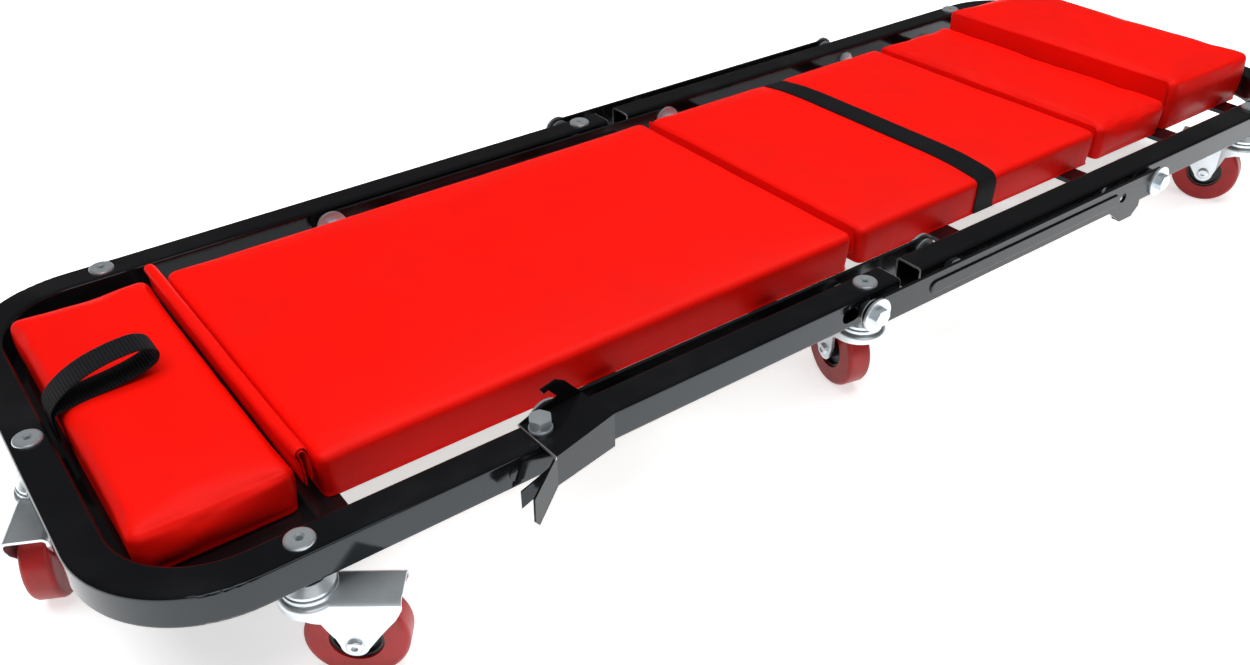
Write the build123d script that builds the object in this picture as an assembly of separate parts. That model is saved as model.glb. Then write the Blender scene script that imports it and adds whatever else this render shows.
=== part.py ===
from build123d import *
import math
import os

# Folding creeper seat, in millimetres, +Z up, wheels on Z = 0.
# X runs along the creeper, the foot end at -X and the head rest at +X.
# Two bent tube frames, base (-X) and seat (+X), are joined on each side
# by an inner and an outer link of one length, which lift the seat frame
# up and over the base as a parallelogram.

# Overall driving dimensions
overall_length = 1220.0
rail_spacing = 380.0
tube_size = 25.0
tube_wall = 1.5
tube_corner = 3.0
bend_radius = 72.5
frame_gap = 23.0
gap_offset = 2.5
overrun = 1.0

# Casters
wheel_diameter = 63.5
wheel_width = 20.0
tread_round = 3.5
hub_radius = 16.5
hub_boss_radius = 8.0
hub_recess = 3.0
axle_radius = 3.5
axle_head_radius = 5.5
axle_head_height = 2.6
axle_dome_share = 0.8
axle_hollow_radius = 2.2
axle_hollow_depth = 1.6
wheel_trail = 24.2
wheel_top_gap = 2.0
fork_wall = 2.0
fork_side_gap = 2.5
fork_boss_gap = 0.3
fork_disc_radius = 20.0
fork_round = 4.5
fork_reach = 55.0
fork_leg_radius = 8.5
fork_skirt = 7.0
fork_nose_shares = (0.94, 0.34)
race_height = 11.0
race_ring_height = 2.7
race_gap = 0.4
race_radius = 16.0
race_top_radius = 12.5
ball_radius = 2.4
ball_circle = 10.2
ball_count = 10
stem_radius = 4.5
stem_head_radius = 9.5
stem_head_height = 2.6
stem_dome_share = 0.85
stem_hollow_radius = 2.2
stem_sink_radius = 3.4
stem_hollow_depth = 9.0
stem_flange_radius = 7.5
stem_flange_height = 1.8
running_gap = 0.08
loose_gap = 0.3

# Where the casters stand and how far each is turned
corner_stem_inset = 113.0
mid_stem_inset = 26.0
head_stem_inset = 104.0
corner_turn = -36.5
end_turn = -117.0
mid_turn = 76.9
head_turn = 110.4

# Links and their pivots
link_length = 365.0
pivot_spacing = 264.0
open_end_to_pivot = 36.5
link_height = 24.0
link_thickness = 3.0
link_standoff = 7.5
link_play = 0.15
link_rib_height = 12.0
link_rib_depth = 1.6
link_rib_inset = 60.0
link_rib_round_share = 0.9
bolt_radius = 4.0
spacer_radius = 7.5
inner_washer_radius = 11.0
inner_washer_thickness = 1.5
outer_washer_radius = 13.5
outer_washer_thickness = 2.0
hex_across = 13.0
hex_height = 5.3
hex_ease_share = 0.08
nut_height = 5.2
flat_head_radius = 7.0
flat_head_height = 1.8
bolt_end = 1.0
wall_slot_length = 18.0
wall_slot_height = 12.0
wall_slot_offset = 15.5
rest_plate_length = 36.0
rest_plate_height = 13.0
rest_plate_thickness = 0.8
rest_plate_offset = 33.5

# Stop lug under each outer link, its outline in shares of its width and depth
lug_near = 23.0
lug_width = 46.5
lug_depth = 26.0
lug_flange = 6.5
lug_hole_radius = 4.5
lug_hole_offset = 52.0
lug_hole_height = 1.5
lug_outline_shares = [(0, 0), (0.05, 0.48), (0.42, 0.94), (0.5, 1), (0.81, 1), (1, 0.68), (0.98, 0)]
lug_flange_shares = (0.45, 0.83)

# Cross bars and foot plate
bar_width = 25.0
bar_thickness = 4.0
bar_end_inset = 8.0
plate_thickness = 1.5
plate_lap = 8.0
plate_clearance = 2.0
head_bar_inset = 61.0
base_bar_shares = (0.46, 0.795)
seat_bar_shares = (0.32, 0.89)

# Pads, from the foot end to the head rest
pad_side_gap = 34.5
pad_height = 37.0
head_pad_height = 53.5
pad_crown = 3.5
pad_bulge = 1.0
pad_draw_in = 2.5
pad_edge = 5.0
pad_corner = 8.0
crown_margin = 4.0
crown_power_share = 2.5
crown_steps = 12
foot_pad_length = 103.0
mid_pad_length = 109.0
head_pad_length = 140.0
foot_bend_gap = 3.7
head_bend_gap = 1.0
bead_gap = 10.0
base_pad_overhang = 15.0
split_gap = 4.5
pad_gap = 4.0
board_inset = 9.0
board_thickness = 9.0
foot_lid_gap = 0.4

# Fold beads between the pads
bead_radius = 5.0
bead_lift = 5.0
bead_sheet = 1.3
bead_leg = 15.0
bead_side_gap = 0.4
bead_end_inset = 1.0
lip_thickness = 1.4
lip_height = 25.0
lip_rise = 1.0
lip_end_inset = 7.0
lip_round_share = 0.45

# Webbing
strap_width = 26.0
strap_thickness = 1.5
loop_width = 24.0
loop_thickness = 1.8
loop_tip_radius = 11.0
loop_tip_lift = 14.0
loop_reach = 58.0
loop_y = 12.0
loop_base_radius = 3.0
loop_tail = 22.0

# Catch bracket on the near base rail: bolted plate, outer cheek, two flaps, hook
catch_to_pivot = 19.5
catch_turn = 6.0
catch_wall = 1.5
catch_left = 8.3
catch_rake = 2.8
catch_right = 44.5
catch_inner = 13.2
catch_outer_left = 28.5
catch_outer_right = 20.8
catch_drop_left = 23.4
catch_drop_right = 26.9
catch_hook_height = 21.8
catch_flap_reach = 26.5
catch_flap_drop = 38.5
catch_flap_flare = 10.0
catch_back_reach = 23.3
catch_back_drop = 40.0
catch_back_flare = 36.0
catch_bolt_head_gap = 2.5
catch_washer_radius = 8.0
catch_hex_across = 14.0

# Catch outlines, each point in shares of the length and the height of its piece
hook_low_shares = [(0, 0), (0, 0.07), (0.28, 0.26), (0.51, 0.32), (0.62, 0.36)]
hook_top_shares = [(0.48, 0.77), (0.4, 0.73), (0.36, 0.91), (0.61, 1), (0.73, 0.83), (1, 0.07), (1, 0)]
flap_shares = [(0, 0), (0.98, 0.39), (1, 0.86), (0.85, 1), (0, 0.61)]
back_flap_shares = [(0, 0.12), (1, 0.66), (1, 1), (0.61, 0.78), (0, 0.44)]

# Pad screws
screw_radius = 2.4
screw_head_radius = 4.8
screw_head_height = 2.4
screw_spread = 90.0
screw_bite = 7.0
screw_dome_share = 0.7

# Heights that follow from the sizes above
half_spacing = rail_spacing / 2
half_tube = tube_size / 2
half_length = overall_length / 2
wheel_radius = wheel_diameter / 2
fork_top = wheel_diameter + wheel_top_gap + fork_wall
tube_bottom = fork_top + race_height
tube_top = tube_bottom + tube_size
rail_z = tube_bottom + half_tube
fork_inner_half = wheel_width / 2 + fork_side_gap
fork_outer_half = fork_inner_half + fork_wall
pad_bottom = tube_bottom

# Places along X that follow from the sizes above
split_x = -gap_offset
base_open_x = split_x - frame_gap / 2
seat_open_x = split_x + frame_gap / 2
end_bar_x = -half_length + half_tube
corner_stem_x = -half_length + corner_stem_inset
mid_stem_x = base_open_x - mid_stem_inset
head_stem_x = half_length - head_stem_inset
base_outer_pivot_x = base_open_x - open_end_to_pivot
base_inner_pivot_x = base_outer_pivot_x - pivot_spacing
seat_inner_pivot_x = base_inner_pivot_x + link_length
seat_outer_pivot_x = base_outer_pivot_x + link_length
link_inner_face = half_tube + link_standoff
inner_washer_at = link_inner_face - link_play - inner_washer_thickness
catch_x = base_inner_pivot_x - catch_to_pivot

# The pads fill the frames: their width from the rails, their ends from the bends
pad_width = rail_spacing - tube_size - 2 * pad_side_gap


def bend_reach(clearance):
    """X of a pad end whose corners stay that far inside the tube's bends."""
    arc_x = half_length - half_tube - bend_radius
    arc_y = half_spacing - bend_radius
    across = max(pad_width / 2 - pad_corner - arc_y, 0)
    room = bend_radius - half_tube - pad_corner - clearance
    return arc_x + pad_corner + math.sqrt(room**2 - across**2)


foot_pad_end = -bend_reach(foot_bend_gap)
head_pad_end = bend_reach(head_bend_gap)
foot_pad_x = [foot_pad_end, foot_pad_end + foot_pad_length]
base_pad_x = [foot_pad_x[1] + bead_gap, base_open_x + base_pad_overhang]
head_pad_x = [head_pad_end - head_pad_length, head_pad_end]
mid_pad_x = [head_pad_x[0] - pad_gap - mid_pad_length, head_pad_x[0] - pad_gap]
seat_pad_x = [base_pad_x[1] + split_gap, mid_pad_x[0] - pad_gap]
flip_axis_x = (foot_pad_x[1] + base_pad_x[0]) / 2
flip_axis_z = pad_bottom + pad_height - pad_crown
strap_x = (seat_pad_x[0] + seat_pad_x[1]) / 2


def along(x_ends, share):
    """Place along a pad, as a share of its length."""
    return x_ends[0] + share * (x_ends[1] - x_ends[0])


# Cross bars: under the fold, under the base and seat pads, under two gaps
foot_bar_x = base_pad_x[0]
base_bar_xs = [along(base_pad_x, share) for share in base_bar_shares]
seat_bar_xs = [along(seat_pad_x, share) for share in seat_bar_shares]
gap_bar_x = mid_pad_x[1]
head_bar_x = half_length - head_bar_inset


def box_between(low, high):
    """Solid box from one corner to the opposite one."""
    size = [b - a for a, b in zip(low, high)]
    middle = [(a + b) / 2 for a, b in zip(low, high)]
    return Pos(*middle) * Box(*size)


def rod_x(radius, x0, x1, y, z):
    return Pos((x0 + x1) / 2, y, z) * Rot(0, 90, 0) * Cylinder(radius, abs(x1 - x0))


def rod_y(radius, y0, y1, x, z):
    return Pos(x, (y0 + y1) / 2, z) * Rot(90, 0, 0) * Cylinder(radius, abs(y1 - y0))


def rod_z(radius, z0, z1, x=0, y=0):
    return Pos(x, y, (z0 + z1) / 2) * Cylinder(radius, abs(z1 - z0))


def hex_z(across, z0, z1):
    """Hexagon prism about Z, with its corners eased by a cone."""
    corner = across / math.sqrt(3)
    height = z1 - z0
    blank = Pos(0, 0, z0) * extrude(RegularPolygon(corner, 6), height)
    ease = Pos(0, 0, (z0 + z1) / 2) * Cylinder(corner - height * hex_ease_share, height)
    top = Pos(0, 0, (z0 + z1) / 2) * Cone(corner + height, across / 2, height)
    return blank & (ease + (blank & top))


def hex_y(across, y_from, y_to, x, z):
    """Hexagon prism along Y, eased at the y_to end."""
    head = hex_z(across, 0, abs(y_to - y_from))
    turn = Rot(-90, 0, 0) if y_to > y_from else Rot(90, 0, 0)
    return Pos(x, y_from, z) * turn * head


def tube_run(size, corner, length):
    """Solid bar along a U path: open ends at X = 0, closed end at -X."""
    arc_x = -length + half_tube + bend_radius
    arc_y = -half_spacing + bend_radius
    section = RectangleRounded(size, size, corner)
    rail = Pos(arc_x, -half_spacing, rail_z) * (
        Plane(origin=(0, 0, 0), x_dir=(0, 1, 0), z_dir=(1, 0, 0)) * section
    )
    straight = extrude(rail, amount=-arc_x, dir=(1, 0, 0))
    bend = revolve(rail, axis=Axis((arc_x, arc_y, 0), (0, 0, -1)), revolution_arc=90)
    bar_start = Pos(-length + half_tube, arc_y, rail_z) * (
        Plane(origin=(0, 0, 0), x_dir=(1, 0, 0), z_dir=(0, 1, 0)) * section
    )
    bar = extrude(bar_start, amount=-2 * arc_y, dir=(0, 1, 0))
    half = straight + bend
    return half + bar + mirror(half, about=Plane.XZ)


def bent_frame(length):
    """Hollow square tube bent into a U, wall thickness kept all round."""
    outside = tube_run(tube_size, tube_corner, length)
    inner_size = tube_size - 2 * tube_wall
    inside = tube_run(inner_size, tube_corner - tube_wall, length)
    return outside - inside


def crown_height(across, along):
    """Height of the crown left at a place, as a share: 1 mid pad, 0 at its rim."""
    fall_across = 1 - abs(across) ** crown_power_share
    fall_along = 1 - abs(along) ** crown_power_share
    return pad_crown * fall_across * fall_along


def crown_face(length, width, height):
    """Smooth domed sheet over a whole pad, a little wider than the pad."""
    rows = []
    for i in range(crown_steps + 1):
        along = 2 * i / crown_steps - 1
        row = []
        for j in range(crown_steps + 1):
            across = 2 * j / crown_steps - 1
            z = height - pad_crown + crown_height(across, along)
            x = along * (length / 2 + crown_margin)
            y = across * (width / 2 + crown_margin)
            row.append(Vector(x, y, z))
        rows.append(row)
    return Face.make_surface_from_array_of_points(rows)


def pad_body(x_ends, height, bottom=pad_bottom, grow=0):
    """Padded block: drawn-in foot, full side, rounded edge, crowned top.

    grow makes it wider, taller and deeper by that much, for what goes round it.
    """
    length = x_ends[1] - x_ends[0]
    width = pad_width + 2 * grow
    top = height + grow
    middle = (x_ends[0] + x_ends[1]) / 2

    def outline(inset, z):
        corner = pad_corner + grow - inset
        return Pos(0, 0, z) * RectangleRounded(length - 2 * inset, width - 2 * inset, corner)

    upper_inset = pad_draw_in - pad_bulge
    block = loft([outline(pad_draw_in, -grow), outline(0, height / 2), outline(upper_inset, top)])
    under_crown = extrude(crown_face(length, width, top), amount=2 * top, dir=(0, 0, -1))
    body = block & under_crown
    rim = body.edges().filter_by(lambda edge: edge.center().Z > top - 2 * pad_crown)
    return Pos(middle, 0, bottom) * fillet(rim, radius=pad_edge + grow)


def pad_board(x_ends, bottom=pad_bottom):
    """Plywood base that sits flush in the underside of a pad."""
    length = x_ends[1] - x_ends[0] - 2 * board_inset
    width = pad_width - 2 * board_inset
    middle = (x_ends[0] + x_ends[1]) / 2
    return Pos(middle, 0, bottom + board_thickness / 2) * Box(length, width, board_thickness)


def fork():
    """Pressed caster fork: race disc at the stem, hood and two legs."""
    skirt_z = fork_top - fork_skirt
    hood_height = fork_top
    outer_sec = RectangleRounded(2 * fork_outer_half, 2 * hood_height, fork_round)
    inner_half_height = hood_height - fork_wall
    inner_sec = RectangleRounded(2 * fork_inner_half, 2 * inner_half_height, fork_round - fork_wall)
    side = Plane.YZ
    hood = extrude(side * outer_sec, amount=fork_reach)
    cavity = extrude(side * inner_sec, amount=fork_reach + overrun)
    disc = rod_z(fork_disc_radius, 0, fork_top)
    disc = fillet(disc.edges().group_by(Axis.Z)[-1], radius=fork_round)
    hollow = rod_z(fork_disc_radius - fork_wall, -overrun, fork_top - fork_wall)
    hollow = fillet(hollow.edges().group_by(Axis.Z)[-1], radius=fork_round - fork_wall)
    leg_x = wheel_trail
    rear_low = wheel_radius + fork_leg_radius
    nose_x, nose_z = fork_nose_shares
    outline = [
        (-fork_disc_radius - overrun, fork_top + overrun),
        (-fork_disc_radius - overrun, skirt_z),
        (0, skirt_z - fork_wall),
        (leg_x - 2 * fork_leg_radius + overrun, skirt_z - 3 * fork_wall),
        (leg_x - fork_leg_radius, wheel_radius),
        (leg_x + fork_leg_radius * nose_x, wheel_radius - fork_leg_radius * nose_z),
        (fork_reach - fork_outer_half, rear_low),
        (fork_reach - fork_leg_radius / 2, fork_top - fork_outer_half),
        (fork_reach, fork_top - fork_round - fork_wall),
        (fork_reach, fork_top + overrun),
    ]
    cheek = make_face(Polyline(*outline, close=True))
    cheek = cheek + Pos(leg_x, wheel_radius) * Circle(fork_leg_radius)
    upright = Plane(origin=(0, fork_disc_radius, 0), x_dir=(1, 0, 0), z_dir=(0, -1, 0))
    cheeks = extrude(upright * cheek, amount=2 * fork_disc_radius)
    ring_in = ball_circle + ball_radius + race_gap
    ring = rod_z(race_radius + fork_wall / 2, fork_top - fork_wall / 2, fork_top + race_ring_height)
    ring = fillet(ring.edges().group_by(Axis.Z)[-1], radius=fork_wall / 2)
    ring = ring - rod_z(ring_in, fork_top, fork_top + race_height)
    shell = (hood + disc) & cheeks
    shell = shell - hollow - cavity
    shell = shell + ring
    shell = shell - rod_z(stem_radius + running_gap, 0, fork_top + race_height)
    bore = rod_y(axle_radius, -fork_disc_radius, fork_disc_radius, wheel_trail, wheel_radius)
    return shell - bore


def axle():
    """Wheel axle, domed at both ends outside the fork."""
    x, z = wheel_trail, wheel_radius
    end = fork_outer_half + axle_head_height
    dome = axle_head_height * axle_dome_share
    shank = rod_y(axle_radius, -fork_outer_half, fork_outer_half, x, z)
    heads = [
        rod_y(axle_head_radius, fork_outer_half, end, x, z),
        rod_y(axle_head_radius, -end, -fork_outer_half, x, z),
    ]
    heads[0] = fillet(heads[0].edges().group_by(Axis.Y)[-1], radius=dome)
    heads[1] = fillet(heads[1].edges().group_by(Axis.Y)[0], radius=dome)
    body = shank + heads[0] + heads[1]
    for sign in (-1, 1):
        bottom = sign * (end - axle_hollow_depth)
        body = body - rod_y(axle_hollow_radius, bottom, sign * (end + overrun), x, z)
    return body


def tyre():
    """Solid tread ring with rounded shoulders."""
    x, z = wheel_trail, wheel_radius
    ring = rod_y(wheel_radius, -wheel_width / 2, wheel_width / 2, x, z)
    ring = fillet(ring.edges(), radius=tread_round)
    return ring - rod_y(hub_radius, -wheel_width, wheel_width, x, z)


def hub():
    """Plastic wheel centre with a recessed web and a long boss."""
    x, z = wheel_trail, wheel_radius
    half = wheel_width / 2
    boss_end = fork_inner_half - fork_boss_gap
    disc = rod_y(hub_radius, -half + tread_round / 2, half - tread_round / 2, x, z)
    recess_in = half - tread_round / 2 - hub_recess
    for sign in (-1, 1):
        cut = rod_y(hub_radius - fork_wall, sign * recess_in, sign * wheel_width, x, z)
        disc = disc - cut
    boss = rod_y(hub_boss_radius, -boss_end, boss_end, x, z)
    bore = rod_y(axle_radius + running_gap, -wheel_width, wheel_width, x, z)
    return disc + boss - bore


def race_cup():
    """Upper bearing race between the fork and the tube."""
    low = fork_top + race_ring_height + race_gap
    with BuildPart() as cup:
        with BuildSketch(Plane.XZ):
            with BuildLine():
                wall = Polyline(
                    (stem_radius, low),
                    (race_radius, low),
                    (race_radius, low + fork_wall),
                )
                slope = Line(wall @ 1, (race_top_radius, tube_bottom))
                Line(slope @ 1, (stem_radius, tube_bottom))
                Line((stem_radius, tube_bottom), wall @ 0)
            make_face()
        revolve(axis=Axis.Z)
    groove_top = fork_top + 2 * ball_radius + 2 * running_gap
    groove = rod_z(ball_circle + ball_radius + race_gap, fork_top, groove_top)
    groove = groove - rod_z(ball_circle - ball_radius - race_gap, 0, tube_top)
    return cup.part - groove


def race_balls():
    """Ring of bearing balls in the race."""
    z = fork_top + ball_radius + running_gap
    step = 360 / ball_count
    return [
        Rot(0, 0, step * i) * Pos(ball_circle, 0, z) * Sphere(ball_radius)
        for i in range(ball_count)
    ]


def stem_rivet():
    """Hollow-headed rivet that holds a caster under the tube."""
    fork_under = fork_top - fork_wall
    flange_top = fork_under - running_gap
    head = rod_z(stem_head_radius, tube_top, tube_top + stem_head_height)
    head = fillet(head.edges().group_by(Axis.Z)[-1], radius=stem_head_height * stem_dome_share)
    shank = rod_z(stem_radius, flange_top - stem_flange_height, tube_top)
    flange = rod_z(stem_flange_radius, flange_top - stem_flange_height, flange_top)
    body = head + shank + flange
    top = tube_top + stem_head_height
    hollow = rod_z(stem_hollow_radius, top - stem_hollow_depth, top + overrun)
    sink_depth = stem_sink_radius - stem_hollow_radius
    sink = Pos(0, 0, top - sink_depth / 2) * Cone(stem_hollow_radius, stem_sink_radius, sink_depth)
    return body - hollow - sink


def at_stem(shape, x, y, turn=0):
    return Pos(x, y, 0) * Rot(0, 0, turn) * shape


def pivot_spacers(x, face):
    """Black sleeves between the rails and a pair of links."""
    ends = [-half_spacing + face * distance for distance in (half_tube, inner_washer_at)]
    near = rod_y(spacer_radius, *ends, x, rail_z) - rod_y(bolt_radius, *ends, x, rail_z)
    return [near, mirror(near, about=Plane.XZ)]


def pivot_bolt(x, side, face, far_end):
    """Hex bolt and washers of one link pivot.

    side is the Y of the rail, face is +1 or -1 for the way the bolt head
    looks, and far_end names what closes the bolt on the other tube face.
    """
    out = half_tube
    head_at = link_inner_face + link_thickness + link_play

    def y(distance):
        return side + face * distance

    washer_ends = [y(inner_washer_at), y(inner_washer_at + inner_washer_thickness)]
    washer = rod_y(inner_washer_radius, *washer_ends, x, rail_z)
    cap_washer = rod_y(
        outer_washer_radius, y(head_at), y(head_at + outer_washer_thickness), x, rail_z
    )
    head_seat = head_at + outer_washer_thickness
    bolt = hex_y(hex_across, y(head_seat), y(head_seat + hex_height), x, rail_z)
    hole = rod_y(bolt_radius, y(-out - nut_height), y(head_seat), x, rail_z)
    bolt = bolt + rod_y(bolt_radius, y(-out), y(head_seat), x, rail_z)
    loose = [washer - hole, cap_washer - hole]
    if far_end == "nut":
        nut = hex_y(hex_across, y(-out), y(-out - nut_height), x, rail_z)
        tip = rod_y(bolt_radius, y(-out - nut_height - bolt_end), y(-out), x, rail_z)
        return loose + [bolt + tip, nut - tip]
    cap = rod_y(flat_head_radius, y(-out - flat_head_height), y(-out), x, rail_z)
    return loose + [bolt + cap]


def side_pivots(x, face, near_end="nut"):
    """One pivot on each rail; face is +1 inwards on the near rail."""
    near = pivot_bolt(x, -half_spacing, face, near_end)
    far = pivot_bolt(x, -half_spacing, face, "nut")
    return near + [mirror(part, about=Plane.XZ) for part in far]


def link_bar(x0, y0, rib_sign):
    """Flat link with round ends, two bores and a pressed rib."""
    blank = SlotOverall(link_length + link_height, link_height)
    centre_x = x0 + link_length / 2
    plane = Plane(origin=(centre_x, y0, rail_z), x_dir=(1, 0, 0), z_dir=(0, 1, 0))
    bar = extrude(plane * blank, amount=link_thickness)
    if rib_sign:
        rib_length = link_length - 2 * link_rib_inset
        rib_y = y0 + (link_thickness if rib_sign > 0 else 0)
        rib = Pos(centre_x, rib_y, rail_z) * Rot(90, 0, 0) * extrude(
            SlotOverall(rib_length, link_rib_height), amount=link_rib_depth, both=True
        )
        crest = rib.faces().sort_by(Axis.Y)[-1 if rib_sign > 0 else 0]
        rib = fillet(crest.edges(), radius=link_rib_depth * link_rib_round_share)
        bar = bar + rib
    for x in (x0, x0 + link_length):
        bore = rod_y(bolt_radius + running_gap, y0 - link_thickness, y0 + 2 * link_thickness, x, rail_z)
        bar = bar - bore
    return bar


def share_outline(shares, width, height):
    """Closed face from points given as shares of a width and a height."""
    return make_face(Polyline(*[(across * width, up * height) for across, up in shares], close=True))


def outer_link():
    """Near outer link: outside the rails, with its stop lug."""
    y0 = -half_spacing - link_inner_face - link_thickness
    bar = link_bar(base_outer_pivot_x, y0, -1)
    lug_x0 = seat_outer_pivot_x - lug_near - lug_width
    low = rail_z - lug_depth
    upright = Plane(origin=(lug_x0, y0 + link_thickness, rail_z), x_dir=(1, 0, 0), z_dir=(0, -1, 0))
    web = extrude(upright * share_outline(lug_outline_shares, lug_width, -lug_depth), amount=link_thickness)
    flange_x0, flange_x1 = [lug_x0 + share * lug_width for share in lug_flange_shares]
    reach = y0 + link_thickness + lug_flange
    foot = box_between((flange_x0, y0, low), (flange_x1, reach, low + link_thickness))
    foot = fillet(foot.edges().filter_by(Axis.Z).group_by(Axis.Y)[-1], radius=link_thickness)
    hole_x = seat_outer_pivot_x - lug_hole_offset
    hole = rod_y(lug_hole_radius, y0 - half_tube, y0 + half_tube, hole_x, rail_z - lug_hole_height)
    return bar + web + foot - hole


def inner_link():
    """Near inner link: inside the rails."""
    y0 = -half_spacing + link_inner_face
    return link_bar(base_inner_pivot_x, y0, 1)


def cross_bar(x, screws=True):
    """Flat bar welded under both rails."""
    reach = half_spacing + half_tube - bar_end_inset
    low = tube_bottom - bar_thickness
    bar = box_between((x - bar_width / 2, -reach, low), (x + bar_width / 2, reach, tube_bottom))
    if screws:
        for y in (-screw_spread, screw_spread):
            bar = bar - rod_z(screw_radius, low - overrun, tube_top, x, y)
    return bar


def head_bar():
    """Short bar under the head rest, welded under the two bends."""
    arc_x = half_length - half_tube - bend_radius
    away = head_bar_x - arc_x
    rail_y = half_spacing - bend_radius + math.sqrt(bend_radius**2 - away**2)
    low = tube_bottom - bar_thickness
    size = (bar_width, 2 * rail_y, bar_thickness)
    bar = Pos(head_bar_x, 0, low + bar_thickness / 2) * Box(*size)
    for y in (-screw_spread, screw_spread):
        bar = bar - rod_z(screw_radius, low - overrun, tube_top, head_bar_x, y)
    return bar


def foot_plate():
    """Thin sheet that closes the bay under the lifting foot pad."""
    x0 = -half_length + tube_size - plate_lap
    x1 = foot_bar_x - bar_width / 2
    half = half_spacing - half_tube + plate_lap
    corner = bend_radius - half_tube + plate_lap
    sheet = Pos((x0 + x1) / 2, 0) * Rectangle(x1 - x0, 2 * half)
    sheet = fillet(sheet.vertices().group_by(Axis.X)[0], radius=corner)
    reach = race_top_radius + plate_clearance
    for x, y in ((corner_stem_x, -half_spacing), (corner_stem_x, half_spacing), (end_bar_x, 0)):
        sheet = sheet - Pos(x, y) * Circle(reach)
    return Pos(0, 0, tube_bottom - plate_thickness) * extrude(sheet, amount=plate_thickness)


def pad_screws(bar_xs):
    """Pan screws up through the cross bars into the pad boards."""
    low = tube_bottom - bar_thickness
    screws = []
    for x in bar_xs:
        for y in (-screw_spread, screw_spread):
            head = rod_z(screw_head_radius, low - screw_head_height, low, x, y)
            head = fillet(head.edges().group_by(Axis.Z)[0], radius=screw_head_height * screw_dome_share)
            screws.append(head + rod_z(screw_radius, low, tube_bottom + screw_bite, x, y))
    return screws


def catch_bracket():
    """Bent catch over the near base rail: top plate, cheek, two flaps and hook."""
    top = tube_top
    plate_top = top + catch_wall
    left, right = -catch_left, catch_right
    fold_left = (left - catch_rake, -catch_outer_left)
    fold_right = (right, -catch_outer_right)
    fold_turn = math.degrees(math.atan2(fold_right[1] - fold_left[1], fold_right[0] - fold_left[0]))
    fold_length = math.dist(fold_left, fold_right)
    roof_outline = Polyline(fold_left, fold_right, (right, catch_inner), (left, catch_inner), close=True)
    roof = extrude(Pos(0, 0, top) * make_face(roof_outline), amount=catch_wall)
    bend_at = Pos(*fold_left, 0) * Rot(0, 0, fold_turn) * Pos(catch_wall / 2, catch_wall / 2, 0)

    def plate(face, turn):
        """Upright plate that starts at the fold's left end."""
        sheet = extrude(Plane.XZ * face, amount=catch_wall / 2, both=True)
        return bend_at * Pos(0, 0, plate_top) * Rot(0, 0, turn) * sheet

    cheek_length = fold_length - catch_wall / 2
    cheek_points = [(0, 0), (cheek_length, 0), (cheek_length, -catch_drop_right), (0, -catch_drop_left)]
    cheek = plate(make_face(Polyline(*cheek_points, close=True)), 0)
    bend = bend_at * rod_z(catch_wall / 2, plate_top - catch_drop_left, plate_top)
    flap = plate(share_outline(flap_shares, -catch_flap_reach, -catch_flap_drop), catch_flap_flare)
    back_turn = -fold_turn - catch_back_flare
    back_flap = plate(share_outline(back_flap_shares, -catch_back_reach, -catch_back_drop), back_turn)
    hook_face = share_outline(hook_low_shares + hook_top_shares, right - left, catch_hook_height)
    upright = Plane(origin=(left, catch_inner, top), x_dir=(1, 0, 0), z_dir=(0, -1, 0))
    hook = extrude(upright * hook_face, amount=catch_wall)
    body = roof + cheek + bend + flap + back_flap + hook
    body = body - rod_z(bolt_radius + loose_gap, top - overrun, plate_top + overrun)
    return Pos(catch_x, -half_spacing, 0) * Rot(0, 0, catch_turn) * body


def catch_bolt():
    """Upright hex bolt, washers and nut that hold the catch."""
    seat = tube_top + catch_wall + link_play
    flat = rod_z(catch_washer_radius, seat, seat + inner_washer_thickness)
    spring_top = seat + inner_washer_thickness + catch_bolt_head_gap
    spring = rod_z(catch_hex_across / 2, seat + inner_washer_thickness, spring_top)
    head = hex_z(catch_hex_across, spring_top, spring_top + hex_height)
    hole = rod_z(bolt_radius, 0, spring_top)
    shank = rod_z(bolt_radius, tube_bottom - nut_height - bolt_end, spring_top)
    nut = hex_z(hex_across, tube_bottom - nut_height, tube_bottom)
    parts = [flat - hole, spring - hole, head + shank, nut - hole]
    return [Pos(catch_x, -half_spacing, 0) * part for part in parts]


def fold_bead():
    """Raised vinyl tube that hinges the foot pad to the base pad by two legs."""
    crest = flip_axis_z + bead_lift
    low = flip_axis_z - bead_leg
    leg_half = bead_gap / 2 - bead_side_gap

    def keyhole(shrink, foot):
        legs = Pos(0, (foot + crest) / 2) * Rectangle(2 * (leg_half - shrink), crest - foot)
        return legs + Pos(0, crest) * Circle(bead_radius - shrink)

    sheet = keyhole(0, low) - keyhole(bead_sheet, low - overrun)
    length = pad_width - 2 * bead_end_inset
    plane = Plane(origin=(flip_axis_x, length / 2, 0), x_dir=(1, 0, 0), z_dir=(0, -1, 0))
    return extrude(plane * sheet, amount=length)


def pad_lip(x, height):
    """Thin vinyl flap standing in the gap before a pad."""
    top = pad_bottom + height - pad_crown + lip_rise
    low = top - lip_height
    length = pad_width - 2 * lip_end_inset
    face = x - loose_gap
    blade = box_between((face - lip_thickness, -length / 2, low), (face, length / 2, top))
    crest = blade.edges().filter_by(Axis.Y).group_by(Axis.Z)[-1]
    return fillet(crest, radius=lip_thickness * lip_round_share)


def pad_strap(pad):
    """Webbing band round the seat pad, its inside the pad's own shape."""
    x0 = strap_x - strap_width / 2
    x1 = strap_x + strap_width / 2
    slab = box_between((x0, -rail_spacing, 0), (x1, rail_spacing, 2 * tube_top))
    around = pad_body(seat_pad_x, pad_height, grow=strap_thickness)
    return (around & slab) - pad - pad_board(seat_pad_x)


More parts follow.
